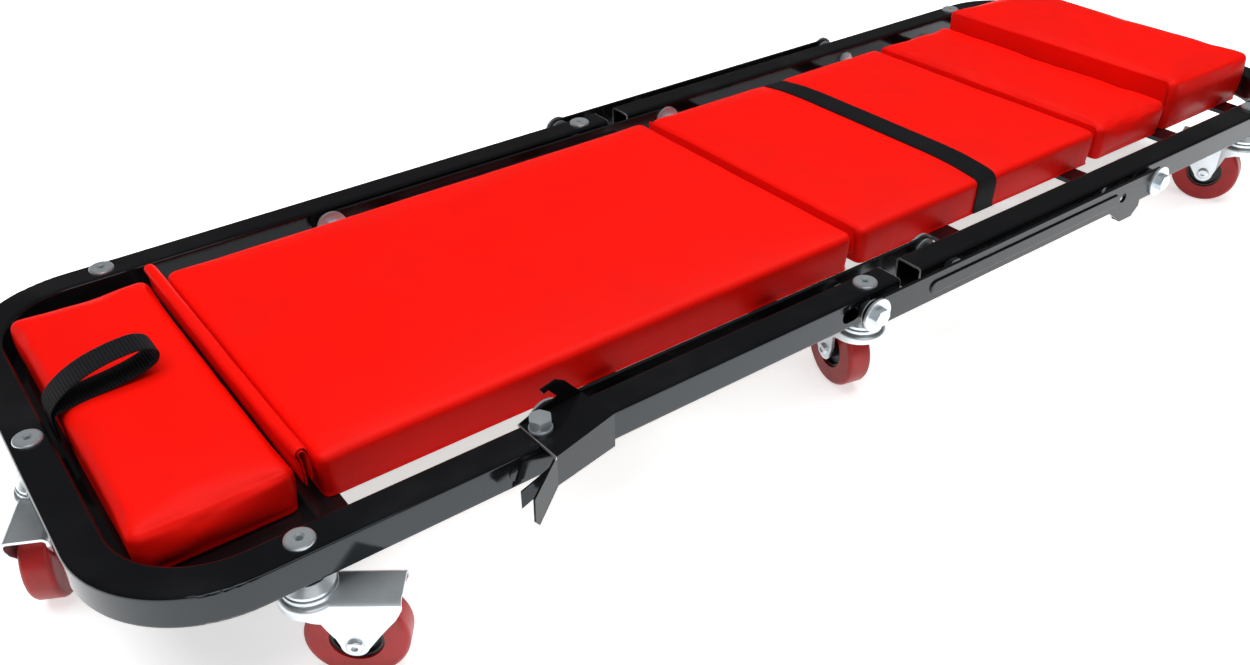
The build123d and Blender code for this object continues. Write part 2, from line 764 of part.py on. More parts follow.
def pull_loop():
    """Webbing pull loop that rises from the foot pad's end."""
    base_x = foot_pad_x[0] + loop_base_radius
    base_z = pad_bottom + pad_height - loop_base_radius / 2
    tip_x = base_x + loop_reach
    tip_z = base_z + loop_tip_lift

    def teardrop(shrink):
        base = Pos(base_x, base_z) * Circle(loop_base_radius - shrink)
        tip = Pos(tip_x, tip_z) * Circle(loop_tip_radius - shrink)
        return make_hull(base.edges() + tip.edges())

    ring = teardrop(0) - teardrop(loop_thickness)
    plane = Plane(origin=(0, loop_y + loop_width / 2, 0), x_dir=(1, 0, 0), z_dir=(0, -1, 0))
    ring = extrude(plane * ring, amount=loop_width)
    return ring


def seated_pull_loop(pad):
    """The pull loop with the pad's own shape taken out of it."""
    x0 = foot_pad_x[0] - loop_thickness
    z1 = pad_bottom + pad_height - loop_base_radius / 2
    y0, y1 = loop_y - loop_width / 2, loop_y + loop_width / 2
    tail = box_between((x0, y0, z1 - loop_tail), (foot_pad_x[0] + loop_base_radius, y1, z1))
    return (pull_loop() + tail) - pad


nodes = {}

# Base frame
base_length = base_open_x + half_length
seat_length = half_length - seat_open_x
base_tube = Pos(base_open_x, 0, 0) * bent_frame(base_length)
seat_tube = Pos(seat_open_x, 0, 0) * mirror(bent_frame(seat_length), about=Plane.YZ)

base_stems = [
    ("corner_near", corner_stem_x, -half_spacing, corner_turn),
    ("corner_far", corner_stem_x, half_spacing, -corner_turn),
    ("foot_end", end_bar_x, 0, end_turn),
    ("mid_near", mid_stem_x, -half_spacing, mid_turn),
    ("mid_far", mid_stem_x, half_spacing, -mid_turn),
]
seat_stems = [
    ("head_near", head_stem_x, -half_spacing, head_turn),
    ("head_far", head_stem_x, half_spacing, -head_turn),
]


def drill_stems(tube, stems):
    for name, x, y, turn in stems:
        tube = tube - rod_z(stem_radius, 0, 2 * tube_top, x, y)
    return tube


def drill_pivots(tube, xs):
    for x in xs:
        tube = tube - rod_y(bolt_radius, -rail_spacing, rail_spacing, x, rail_z)
    return tube


def rest_plate():
    """Thin round-ended plate on the near base rail, behind the catch flaps."""
    blank = Plane.XZ * SlotOverall(rest_plate_length, rest_plate_height)
    plate = extrude(blank, amount=rest_plate_thickness, both=True)
    return Pos(base_inner_pivot_x - rest_plate_offset, -half_spacing - half_tube, rail_z) * plate


def cut_wall_slots(tube, xs):
    """Rounded slots in each rail's outer wall, centred at xs."""
    outer_face = half_spacing + half_tube
    slot = Plane.XZ * SlotOverall(wall_slot_length, wall_slot_height)
    for x in xs:
        for sign in (-1, 1):
            cut = extrude(slot, amount=tube_wall + overrun, both=True)
            tube = tube - Pos(x, sign * outer_face, rail_z) * cut
    return tube


base_tube = drill_stems(base_tube, base_stems)
base_tube = drill_pivots(base_tube, [base_inner_pivot_x, base_outer_pivot_x])
base_tube = cut_wall_slots(base_tube, [base_outer_pivot_x - wall_slot_offset])
base_tube = base_tube + rest_plate()
base_tube = base_tube - rod_z(bolt_radius, 0, 2 * tube_top, catch_x, -half_spacing)
seat_tube = drill_stems(seat_tube, seat_stems)
seat_tube = drill_pivots(seat_tube, [seat_inner_pivot_x, seat_outer_pivot_x])
seat_tube = cut_wall_slots(seat_tube, [seat_outer_pivot_x - wall_slot_offset])
nodes["base_frame_tube"] = base_tube
nodes["seat_frame_tube"] = seat_tube

nodes["base_cross_bars"] = [cross_bar(foot_bar_x, screws=False)]
nodes["base_cross_bars"] += [cross_bar(x) for x in base_bar_xs]
nodes["seat_cross_bars"] = [cross_bar(x) for x in seat_bar_xs]
nodes["seat_cross_bars"] += [cross_bar(gap_bar_x, screws=False), head_bar()]
nodes["foot_plate"] = foot_plate()

# Caster bearings and stems, which stay with the frames
for frame_name, stems in (("base", base_stems), ("seat", seat_stems)):
    places = [(x, y) for name, x, y, turn in stems]
    nodes[frame_name + "_stem_rivets"] = [at_stem(stem_rivet(), x, y) for x, y in places]
    nodes[frame_name + "_race_cups"] = [at_stem(race_cup(), x, y) for x, y in places]
    nodes[frame_name + "_race_balls"] = [
        at_stem(ball, x, y) for x, y in places for ball in race_balls()
    ]

# Casters, each a fork with its axle, a tyre and a hub
fork_solid = fork()
axle_solid = axle()
tyre_solid = tyre()
hub_solid = hub()
for name, x, y, turn in base_stems + seat_stems:
    nodes["fork_" + name] = [at_stem(fork_solid, x, y, turn), at_stem(axle_solid, x, y, turn)]
    nodes["tyre_" + name] = at_stem(tyre_solid, x, y, turn)
    nodes["hub_" + name] = at_stem(hub_solid, x, y, turn)

# Links and pivots
near_inner = inner_link()
near_outer = outer_link()
nodes["inner_link_near"] = near_inner
nodes["inner_link_far"] = mirror(near_inner, about=Plane.XZ)
nodes["outer_link_near"] = near_outer
nodes["outer_link_far"] = mirror(near_outer, about=Plane.XZ)
nodes["base_pivot_spacers"] = pivot_spacers(base_inner_pivot_x, 1) + pivot_spacers(base_outer_pivot_x, -1)
nodes["seat_pivot_spacers"] = pivot_spacers(seat_inner_pivot_x, 1) + pivot_spacers(seat_outer_pivot_x, -1)
nodes["base_inner_pivots"] = side_pivots(base_inner_pivot_x, 1, near_end="cap")
nodes["base_outer_pivots"] = side_pivots(base_outer_pivot_x, -1)
nodes["seat_inner_pivots"] = side_pivots(seat_inner_pivot_x, 1)
nodes["seat_outer_pivots"] = side_pivots(seat_outer_pivot_x, -1)

# Catch on the near rail
nodes["catch_bracket"] = catch_bracket()
nodes["catch_bolt"] = catch_bolt()

# Pads and their boards
base_screws = pad_screws(base_bar_xs)
seat_screws = pad_screws(seat_bar_xs + [head_bar_x])
lid_bottom = pad_bottom + foot_lid_gap
foot_board = pad_board(foot_pad_x, lid_bottom)
foot_pad = pad_body(foot_pad_x, pad_height, bottom=lid_bottom) - foot_board
base_board = pad_board(base_pad_x)
seat_boards = [pad_board(x_ends) for x_ends in (seat_pad_x, mid_pad_x, head_pad_x)]
nodes["foot_pad"] = foot_pad
nodes["foot_pad_board"] = foot_board
nodes["base_pad"] = pad_body(base_pad_x, pad_height) - base_board
nodes["seat_pad"] = pad_body(seat_pad_x, pad_height) - seat_boards[0]
nodes["middle_pad"] = pad_body(mid_pad_x, pad_height) - seat_boards[1]
nodes["head_pad"] = pad_body(head_pad_x, head_pad_height) - seat_boards[2]
for screw in base_screws:
    base_board = base_board - screw
for screw in seat_screws:
    seat_boards = [board - screw for board in seat_boards]
nodes["base_pad_board"] = base_board
nodes["seat_pad_boards"] = seat_boards
nodes["base_pad_screws"] = base_screws
nodes["seat_pad_screws"] = seat_screws

# Vinyl folds and webbing
nodes["fold_bead"] = fold_bead()
nodes["seat_pad_lips"] = [
    pad_lip(seat_pad_x[0], pad_height),
    pad_lip(mid_pad_x[0], pad_height),
    pad_lip(head_pad_x[0], pad_height),
]
nodes["pad_strap"] = pad_strap(nodes["seat_pad"])
nodes["pull_loop"] = seated_pull_loop(foot_pad)

# The origin is the middle of the whole box, on the floor
solids_of = {
    name: shape if isinstance(shape, list) else [shape]
    for name, shape in nodes.items()
}
boxes = [solid.bounding_box() for solids in solids_of.values() for solid in solids]
x_low = min(box.min.X for box in boxes)
x_high = max(box.max.X for box in boxes)
origin_shift = -(x_low + x_high) / 2

os.makedirs("parts", exist_ok=True)
for name, solids in solids_of.items():
    placed = [Pos(origin_shift, 0, 0) * solid for solid in solids]
    export_step(Compound(placed), "parts/" + name + ".step")

print("nodes", len(nodes), "x from", x_low, "to", x_high, "shift", origin_shift)
print("rail_z", rail_z, "tube_top", tube_top, "pivots", base_inner_pivot_x, base_outer_pivot_x)
print("flip axis", flip_axis_x, flip_axis_z)
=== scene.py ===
import math

import bpy
import numpy as np
from mathutils import Matrix, Vector, noise
from mathutils.bvhtree import BVHTree


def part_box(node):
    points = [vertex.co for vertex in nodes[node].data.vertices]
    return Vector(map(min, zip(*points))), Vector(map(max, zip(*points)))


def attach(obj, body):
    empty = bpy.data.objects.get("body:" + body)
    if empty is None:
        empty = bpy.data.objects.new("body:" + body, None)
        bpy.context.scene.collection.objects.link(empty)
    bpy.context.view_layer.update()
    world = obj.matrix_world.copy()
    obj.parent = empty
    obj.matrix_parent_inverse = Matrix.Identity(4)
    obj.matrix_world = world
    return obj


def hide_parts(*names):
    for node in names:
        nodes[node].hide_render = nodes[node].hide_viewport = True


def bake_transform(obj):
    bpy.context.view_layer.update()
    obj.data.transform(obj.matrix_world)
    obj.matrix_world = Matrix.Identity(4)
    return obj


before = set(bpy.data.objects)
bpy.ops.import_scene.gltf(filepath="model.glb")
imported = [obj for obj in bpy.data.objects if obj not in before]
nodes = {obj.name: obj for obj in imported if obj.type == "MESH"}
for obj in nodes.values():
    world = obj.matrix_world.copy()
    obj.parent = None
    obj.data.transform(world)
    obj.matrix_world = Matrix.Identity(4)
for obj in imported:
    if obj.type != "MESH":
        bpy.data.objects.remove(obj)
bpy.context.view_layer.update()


# Floor, light and camera
# The creeper stands on a white sweep under wide soft boxes, seen from about
# knee height beside its foot end.

CAMERA_PLACE = Vector((-0.6201, -0.6891, 0.5648))
CAMERA_YAW = math.radians(36.26)
CAMERA_PITCH = math.radians(33.77)
CAMERA_ROLL = math.radians(-0.75)
PHOTO_WIDTH = 1250.0
FOCAL_PIXELS = 1161.9
SENSOR_WIDTH = 36.0
FLOOR_SIZE = 60.0
FLOOR_SEEN = (0.95, 0.95, 0.95, 1.0)
FLOOR_BOUNCE = (0.7, 0.7, 0.7, 1.0)
FLOOR_LIFT = (0.6, 0.6, 0.6, 1.0)
FLOOR_DARK = (0.0, 0.0, 0.0, 1.0)
FLOOR_ROUGHNESS = 0.9
ROOM_GLOW = 0.06
CLIP_START = 0.01
OVERHEAD_PLACE = (0.0, 0.0, 2.4)
OVERHEAD_AIM = (0.0, 0.0, 0.0)
OVERHEAD_SIZE = (4.2, 2.4)
WASH_WATTS = 98.0
BOX_WATTS = 46.0
STRIP_PLACE = (-0.8, -2.2, 1.2)
STRIP_AIM = (0.0, 0.0, 0.1)
STRIP_SIZE = (2.4, 0.5)
STRIP_WATTS = 9.0


class Wire:
    """A shader value: sums written on it become Math nodes in its material."""

    def __init__(self, tree, socket):
        self.tree = tree
        self.socket = socket

    def put(self, kind, settings, values, output=0):
        """Adds a node, sets its settings, then its sockets, and gives one output."""
        node = self.tree.nodes.new(kind)
        for key, value in settings.items():
            setattr(node, key, value)
        for key, value in values.items():
            if isinstance(value, Wire):
                self.tree.links.new(value.socket, node.inputs[key])
            else:
                node.inputs[key].default_value = value
        return Wire(self.tree, node.outputs[output])

    def sum(self, operation, *values):
        return self.put("ShaderNodeMath", {"operation": operation}, dict(enumerate(values)))

    def __add__(self, other):
        return self.sum("ADD", self, other)

    def __sub__(self, other):
        return self.sum("SUBTRACT", self, other)

    def __mul__(self, other):
        return self.sum("MULTIPLY", self, other)

    def size(self):
        return self.sum("ABSOLUTE", self)

    def sine(self):
        return self.sum("SINE", self)

    def low(self, other):
        return self.sum("MINIMUM", self, other)

    def high(self, other):
        return self.sum("MAXIMUM", self, other)

    def step(self, start, end, low=0.0, high=1.0):
        """Eases from low to high while the value goes from start to end."""
        return self.put(
            "ShaderNodeMapRange",
            {"interpolation_type": "SMOOTHSTEP"},
            {"Value": self, "From Min": start, "From Max": end, "To Min": low, "To Max": high},
        )

    def part(self, axis):
        """One of X, Y and Z of a vector."""
        return self.put("ShaderNodeSeparateXYZ", {}, {"Vector": self}, "XYZ".index(axis))

    def stretch(self, x, y, z):
        """The place, scaled by a number along each axis."""
        return self.put("ShaderNodeMapping", {}, {"Vector": self, "Scale": (x, y, z)})

    def grain(self, scale, detail=2.0, roughness=0.5):
        """Cloudy noise at a scale in lumps per metre, about 0.5 on average."""
        values = {"Vector": self, "Scale": scale, "Detail": detail, "Roughness": roughness}
        return self.put("ShaderNodeTexNoise", {}, values)

    def cells(self, scale):
        """Distance inside random cells, for pebbled grain."""
        values = {"Vector": self, "Scale": scale}
        return self.put("ShaderNodeTexVoronoi", {}, values, "Distance")

    def tint(self, first, second):
        """A colour between two, by this value."""
        return self.put(
            "ShaderNodeMix", {"data_type": "RGBA"}, {"Factor": self, 6: first, 7: second}, 2
        )


class Finish:
    """One material under way: its shader, and the place that patterns follow."""

    def __init__(self, name, colour, roughness, metallic=0.0):
        self.material = bpy.data.materials.new(name)
        self.material.use_nodes = True
        tree = self.material.node_tree
        self.shader = tree.nodes["Principled BSDF"]
        self.shader.inputs["Base Color"].default_value = (*colour, 1.0)
        self.shader.inputs["Roughness"].default_value = roughness
        self.shader.inputs["Metallic"].default_value = metallic
        place = tree.nodes.new("ShaderNodeTexCoord")
        self.place = Wire(tree, place.outputs["Object"])
        self.tree = tree

    def mark(self, name):
        """A number stored on the piece's points under a name."""
        return self.place.put("ShaderNodeAttribute", {"attribute_name": name}, {}, 2)

    def light_path(self, kind):
        return self.place.put("ShaderNodeLightPath", {}, {}, kind)

    def feed(self, socket, value):
        """Links a value to one of the shader's sockets."""
        self.tree.links.new(value.socket, self.shader.inputs[socket])

    def hold(self, socket, number):
        """Sets one of the shader's sockets for the whole surface."""
        self.shader.inputs[socket].default_value = number

    def emboss(self, height, distance):
        """Raises the surface by a height from 0 to 1 times a distance in metres."""
        values = {"Height": height, "Distance": distance, "Strength": 1.0}
        self.feed("Normal", height.put("ShaderNodeBump", {}, values))


def mesh_piece(name, points, faces, finish):
    """A new smooth object at the origin from points and faces."""
    mesh = bpy.data.meshes.new(name)
    mesh.from_pydata([tuple(p) for p in points], [], faces)
    mesh.materials.append(finish.material)
    mesh.polygons.foreach_set("use_smooth", [True] * len(mesh.polygons))
    mesh.update()
    piece = bpy.data.objects.new(name, mesh)
    bpy.context.scene.collection.objects.link(piece)
    return piece


sweep = Finish("white_sweep", FLOOR_SEEN[:3], FLOOR_ROUGHNESS)
sweep.hold("Specular IOR Level", 0.0)
mirror_seen = sweep.light_path("Is Camera Ray").high(sweep.light_path("Is Glossy Ray"))
seen = mirror_seen.high(sweep.light_path("Is Transmission Ray"))
sweep.feed("Base Color", seen.tint(FLOOR_BOUNCE, FLOOR_SEEN))
sweep.hold("Emission Strength", 1.0)
sweep.feed("Emission Color", seen.tint(FLOOR_DARK, FLOOR_LIFT))
half_floor = FLOOR_SIZE / 2
floor = mesh_piece(
    "studio_floor",
    [
        (-half_floor, -half_floor, 0),
        (half_floor, -half_floor, 0),
        (half_floor, half_floor, 0),
        (-half_floor, half_floor, 0),
    ],
    [(0, 1, 2, 3)],
    sweep,
)

world = bpy.data.worlds.new("white_room")
bpy.context.scene.world = world
world.use_nodes = True
sky_shader = world.node_tree.nodes["Background"]
sky_shader.inputs["Strength"].default_value = ROOM_GLOW
sky_shader.inputs["Color"].default_value = (1.0, 1.0, 1.0, 1.0)


def soft_box(name, place, target, size, watts, mirrored=True):
    """A rectangular area lamp that looks at a point; mirrored ones show in gloss."""
    data = bpy.data.lights.new(name, "AREA")
    data.shape = "RECTANGLE"
    data.size, data.size_y = size
    data.energy = watts
    lamp = bpy.data.objects.new(name, data)
    lamp.location = place
    lamp.visible_glossy = mirrored
    aim = Vector(target) - Vector(place)
    lamp.rotation_euler = aim.to_track_quat("-Z", "Y").to_euler()
    bpy.context.scene.collection.objects.link(lamp)


soft_box("overhead_wash", OVERHEAD_PLACE, OVERHEAD_AIM, OVERHEAD_SIZE, WASH_WATTS, mirrored=False)
soft_box("overhead_box", OVERHEAD_PLACE, OVERHEAD_AIM, OVERHEAD_SIZE, BOX_WATTS)
soft_box("front_strip", STRIP_PLACE, STRIP_AIM, STRIP_SIZE, STRIP_WATTS)

scene = bpy.context.scene
camera_data = bpy.data.cameras.new("photo_camera")
camera_data.sensor_width = SENSOR_WIDTH
camera_data.lens = FOCAL_PIXELS * SENSOR_WIDTH / PHOTO_WIDTH
camera_data.clip_start = CLIP_START
camera = bpy.data.objects.new("photo_camera", camera_data)
scene.collection.objects.link(camera)
forward = Vector(
    (
        math.sin(CAMERA_YAW) * math.cos(CAMERA_PITCH),
        math.cos(CAMERA_YAW) * math.cos(CAMERA_PITCH),
        -math.sin(CAMERA_PITCH),
    )
)
level_right = Vector((math.cos(CAMERA_YAW), -math.sin(CAMERA_YAW), 0.0))
level_up = level_right.cross(forward)
camera_right = level_right * math.cos(CAMERA_ROLL) + level_up * math.sin(CAMERA_ROLL)
camera_up = camera_right.cross(forward)
turn = Matrix((camera_right, camera_up, -forward)).transposed().to_4x4()
camera.matrix_world = Matrix.Translation(CAMERA_PLACE) @ turn
scene.camera = camera
scene.view_settings.view_transform = "Standard"


# Bent tube frames, cross bars and foot plate
# Square steel tube bent into two U shapes, powder coated gloss black after
# welding, with bare metal where the ends were sawn off.

COAT_BLACK = (0.0032, 0.0032, 0.0036)
COAT_DUST = (0.007, 0.007, 0.0075)
BARE_STEEL = (0.62, 0.62, 0.63, 1.0)
GLOSS_TINT = (0.82, 0.92, 1.0, 1.0)
CLOUD_SCALE = 14.0
HAZE_SCALE = 90.0
PEEL_SCALE = 420.0
PEEL_DEPTH = 0.00002
SAWN_FULL = 0.0002
SAWN_NONE = 0.0006
BARE_ROUGHNESS = 0.4


def dress(finish, *names):
    """Gives CAD nodes a finish in every one of their slots."""
    for name in names:
        for slot in nodes[name].material_slots:
            slot.material = finish.material


coat = Finish("black_gloss_coat", COAT_BLACK, 0.2)
coat.hold("Specular IOR Level", 0.6)
coat.hold("Specular Tint", GLOSS_TINT)
cloud = coat.place.grain(CLOUD_SCALE, 3.0)
haze = coat.place.grain(HAZE_SCALE, 4.0)
base_tube_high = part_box("base_frame_tube")[1]
seat_tube_low, seat_tube_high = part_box("seat_frame_tube")
along = coat.place.part("X")
from_end = (along - base_tube_high.x).size().low((along - seat_tube_low.x).size())
sawn = from_end.step(SAWN_FULL, SAWN_NONE, 1.0, 0.0)
dusty = cloud.step(0.45, 0.75)
coat.feed("Base Color", sawn.tint(dusty.tint((*COAT_BLACK, 1.0), (*COAT_DUST, 1.0)), BARE_STEEL))
coat.feed("Roughness", (haze * 0.06 + cloud * 0.06 + 0.05).high(sawn * BARE_ROUGHNESS))
coat.feed("Metallic", sawn)
coat.emboss(coat.place.grain(PEEL_SCALE, 1.0), PEEL_DEPTH)
dress(coat, "base_frame_tube", "seat_frame_tube", "base_cross_bars", "seat_cross_bars")
dress(coat, "foot_plate")


# Weld beads
# Short runs of overlapping weld lumps where each cross bar meets the rails,
# black like the tube because the coat went on after welding.

WELD_PITCH = 0.0021
WELD_RADIUS = 0.0017
WELD_SPREAD = 0.14
WELD_SEED = 11
RAIL_WIDTH = 0.025
BAR_APART = 0.03
BEND_REACH = 0.085

rail_inside = base_tube_high.y - RAIL_WIDTH
straight_end = seat_tube_high.x - BEND_REACH


def weld_tree(finish):
    """Lumps along an edge, each scaled a little at random."""
    tree = bpy.data.node_groups.new("weld_lumps", "GeometryNodeTree")
    ports = tree.interface
    ports.new_socket("Geometry", in_out="INPUT", socket_type="NodeSocketGeometry")
    for name in ("Pitch", "Radius", "Spread"):
        ports.new_socket(name, in_out="INPUT", socket_type="NodeSocketFloat")
    ports.new_socket("Seed", in_out="INPUT", socket_type="NodeSocketInt")
    ports.new_socket("Geometry", in_out="OUTPUT", socket_type="NodeSocketGeometry")

    def add(kind, settings, links):
        node = tree.nodes.new(kind)
        for key, value in settings.items():
            setattr(node, key, value)
        for key, value in links.items():
            tree.links.new(value, node.inputs[key])
        return node

    given = add("NodeGroupInput", {}, {}).outputs
    curve = add("GeometryNodeMeshToCurve", {}, {"Mesh": given["Geometry"]}).outputs["Curve"]
    line = {"Curve": curve, "Length": given["Pitch"]}
    steps = add("GeometryNodeResampleCurve", {"mode": "LENGTH"}, line).outputs["Curve"]
    lump = add("GeometryNodeMeshIcoSphere", {}, {"Radius": given["Radius"]})
    lump.inputs["Subdivisions"].default_value = 2
    most = add("ShaderNodeMath", {"operation": "ADD"}, {1: given["Spread"]})
    least = add("ShaderNodeMath", {"operation": "SUBTRACT"}, {1: given["Spread"]})
    most.inputs[0].default_value = 1.0
    least.inputs[0].default_value = 1.0
    scale = add(
        "FunctionNodeRandomValue", {"data_type": "FLOAT_VECTOR"},
        {"Min": least.outputs[0], "Max": most.outputs[0], "Seed": given["Seed"]},
    )
    lumps = {"Points": steps, "Instance": lump.outputs["Mesh"], "Scale": scale.outputs["Value"]}
    placed = add("GeometryNodeInstanceOnPoints", {}, lumps).outputs["Instances"]
    real = add("GeometryNodeRealizeInstances", {}, {"Geometry": placed}).outputs["Geometry"]
    smooth = add("GeometryNodeSetShadeSmooth", {}, {"Geometry": real}).outputs["Geometry"]
    dressed = add("GeometryNodeSetMaterial", {}, {"Geometry": smooth})
    dressed.inputs["Material"].default_value = finish.material
    add("NodeGroupOutput", {}, {"Geometry": dressed.outputs["Geometry"]})
    return tree


def bar_spans(name):
    """Low and high X of each cross bar in a node."""
    bars = nodes[name]
    places = sorted((bars.matrix_world @ v.co).x for v in bars.data.vertices)
    spans = [[places[0], places[0]]]
    for x in places:
        if x - spans[-1][1] > BAR_APART:
            spans.append([x, x])
        spans[-1][1] = x
    return spans


def weld_runs(name, bars, body, tree):
    """All weld beads of one frame, as one mesh."""
    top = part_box(bars)[1].z
    points, edges = [], []
    for x0, x1 in bar_spans(bars):
        if x1 > straight_end:
            continue
        for y in (-rail_inside, rail_inside):
            edges.append((len(points), len(points) + 1))
            points += [(x0, y, top), (x1, y, top)]
    guide = bpy.data.meshes.new(name + "_guide")
    guide.from_pydata(points, edges, [])
    holder = bpy.data.objects.new(name + "_guide", guide)
    bpy.context.scene.collection.objects.link(holder)
    grow = holder.modifiers.new("welds", "NODES")
    grow.node_group = tree
    sizes = {"Pitch": WELD_PITCH, "Radius": WELD_RADIUS, "Spread": WELD_SPREAD, "Seed": WELD_SEED}
    for item in tree.interface.items_tree:
        if item.name in sizes:
            grow[item.identifier] = sizes[item.name]
    graph = bpy.context.evaluated_depsgraph_get()
    mesh = bpy.data.meshes.new_from_object(holder.evaluated_get(graph))
    holder.modifiers.remove(grow)
    bpy.data.objects.remove(holder)
    piece = bpy.data.objects.new(name, mesh)
    bpy.context.scene.collection.objects.link(piece)
    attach(piece, body)


weld_lumps = weld_tree(coat)
weld_runs("base_welds", "base_cross_bars", "base", weld_lumps)
weld_runs("seat_welds", "seat_cross_bars", "seat", weld_lumps)


# Links and their stop lugs
# Flat steel links with a pressed rib, coated like the frame but handled more,
# so the coat is a little duller, with rubbed streaks along the links.

LINK_CLOUD_SCALE = 18.0
RUB_SCALE = 160.0
RUB_STRETCH = 0.3
LINK_PEEL_SCALE = 380.0

link_coat = Finish("black_link_coat", COAT_BLACK, 0.25)
link_coat.hold("Specular Tint", GLOSS_TINT)
link_cloud = link_coat.place.grain(LINK_CLOUD_SCALE, 3.0)
rub = link_coat.place.stretch(RUB_STRETCH, 1.0, 1.0).grain(RUB_SCALE, 4.0)
link_coat.feed("Roughness", link_cloud * 0.14 + rub * 0.12 + 0.12)
link_dust = link_cloud.step(0.4, 0.8)
link_coat.feed("Base Color", link_dust.tint((*COAT_BLACK, 1.0), (*COAT_DUST, 1.0)))
link_coat.emboss(link_coat.place.grain(LINK_PEEL_SCALE, 1.0), PEEL_DEPTH)
dress(link_coat, "inner_link_near", "inner_link_far", "outer_link_near", "outer_link_far")


# Catch bracket
# Folded from sheet, with a hook and two finger tabs; the coat has chipped to
# bare metal along its top left edge.

CATCH_TURN = math.radians(6.0)
CATCH_LEFT = 0.0083
CATCH_INNER = 0.0132
CATCH_RAKE = 0.0028 / 0.0417
EDGE_WORN = 0.0007
EDGE_SOFT = 0.3
TOP_BAND = 0.001
CATCH_CLOUD_SCALE = 30.0
CATCH_PEEL_SCALE = 400.0

catch_coat = Finish("black_catch_coat", COAT_BLACK, 0.22)
catch_coat.hold("Specular Tint", GLOSS_TINT)
catch_cloud = catch_coat.place.grain(CATCH_CLOUD_SCALE, 3.0)
bolt_low, bolt_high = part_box("catch_bolt")
bolt_middle = (bolt_low + bolt_high) / 2
from_bolt_x = catch_coat.place.part("X") - bolt_middle.x
from_bolt_y = catch_coat.place.part("Y") - bolt_middle.y
plate_x = from_bolt_x * math.cos(CATCH_TURN) + from_bolt_y * math.sin(CATCH_TURN)
plate_y = from_bolt_y * math.cos(CATCH_TURN) - from_bolt_x * math.sin(CATCH_TURN)
from_edge = plate_x + CATCH_LEFT - (plate_y - CATCH_INNER) * CATCH_RAKE
on_top = catch_coat.place.part("Z").step(base_tube_high.z - TOP_BAND, base_tube_high.z)
worn_from, worn_to = EDGE_WORN * (1 - EDGE_SOFT), EDGE_WORN * (1 + EDGE_SOFT)
worn = from_edge.size().step(worn_from, worn_to, 1.0, 0.0) * on_top
catch_coat.feed("Base Color", worn.tint((*COAT_BLACK, 1.0), BARE_STEEL))
catch_coat.feed("Metallic", worn)
catch_coat.feed("Roughness", (catch_cloud * 0.16 + 0.08).high(worn * BARE_ROUGHNESS))
catch_coat.emboss(catch_coat.place.grain(CATCH_PEEL_SCALE, 1.0), PEEL_DEPTH)
dress(catch_coat, "catch_bracket")


# Zinc-plated fasteners, races and caster forks
# Pressed and turned steel with a bright blue-white plating that mottles and
# shows fine drawing lines.

ZINC = (0.76, 0.82, 0.86)
ZINC_DULL = (0.68, 0.74, 0.78, 1.0)
MOTTLE_SCALE = 60.0
DRAWN_SCALE = 300.0
DRAWN_STRETCH = 0.15
DRAWN_DEPTH = 0.000005
BALL_STEEL = (0.75, 0.75, 0.76)

zinc = Finish("bright_zinc", ZINC, 0.28, 0.85)
mottle = zinc.place.grain(MOTTLE_SCALE, 2.0)
drawn = zinc.place.stretch(1.0, 1.0, DRAWN_STRETCH).grain(DRAWN_SCALE, 2.0)
zinc.feed("Base Color", mottle.step(0.35, 0.75).tint((*ZINC, 1.0), ZINC_DULL))
zinc.feed("Roughness", mottle * 0.08 + drawn * 0.04 + 0.27)
zinc.emboss(drawn, DRAWN_DEPTH)
dress(zinc, "base_stem_rivets", "seat_stem_rivets", "base_race_cups", "seat_race_cups")
dress(zinc, "base_inner_pivots", "base_outer_pivots", "seat_inner_pivots", "seat_outer_pivots")
dress(zinc, "catch_bolt", "base_pad_screws", "seat_pad_screws")
caster_names = [name[len("fork_"):] for name in nodes if name.startswith("fork_")]
for caster in caster_names:
    dress(zinc, "fork_" + caster)

steel = Finish("polished_balls", BALL_STEEL, 0.12, 1.0)
steel.feed("Roughness", steel.place.grain(DRAWN_SCALE) * 0.1 + 0.08)
dress(steel, "base_race_balls", "seat_race_balls")


# Wheels
# A cast red polyurethane tread, a little cloudy and uneven, on a black moulded
# centre; the spacers of the link pivots are moulded from the same black.

TREAD_RED = (0.55, 0.012, 0.012)
TREAD_DEEP = (0.4, 0.012, 0.012, 1)
TREAD_CLOUD_SCALE = 60.0
TREAD_GRAIN_SCALE = 500.0
TREAD_GRAIN_DEPTH = 0.00008
MOULDED_BLACK = (0.012, 0.012, 0.013)
MOULDED_CLOUD_SCALE = 200.0
MOULDED_GRAIN_SCALE = 900.0
MOULDED_GRAIN_DEPTH = 0.00004

tread = Finish("red_tread", TREAD_RED, 0.38)
tread_cloud = tread.place.grain(TREAD_CLOUD_SCALE, 3.0)
tread.feed("Base Color", tread_cloud.step(0.35, 0.75).tint((*TREAD_RED, 1), TREAD_DEEP))
tread.feed("Roughness", tread_cloud * 0.2 + 0.28)
tread.emboss(tread.place.grain(TREAD_GRAIN_SCALE, 2.0), TREAD_GRAIN_DEPTH)
moulded = Finish("black_wheel_centre", MOULDED_BLACK, 0.45)
moulded.feed("Roughness", moulded.place.grain(MOULDED_CLOUD_SCALE, 3.0) * 0.25 + 0.3)
moulded.emboss(moulded.place.grain(MOULDED_GRAIN_SCALE, 2.0), MOULDED_GRAIN_DEPTH)
for caster in caster_names:
    dress(tread, "tyre_" + caster)
    dress(moulded, "hub_" + caster)
dress(moulded, "base_pivot_spacers", "seat_pivot_spacers")


# Plywood boards
# Bare boards under the pads, seen from below, with a streaky brown grain that
# runs along the creeper.

PLY_PALE = (0.58, 0.42, 0.25)
PLY_DARK = (0.42, 0.27, 0.14, 1)
PLY_STRETCH = (6.0, 60.0, 60.0)
PLY_SCALE = 4.0
PLY_DEPTH = 0.0002

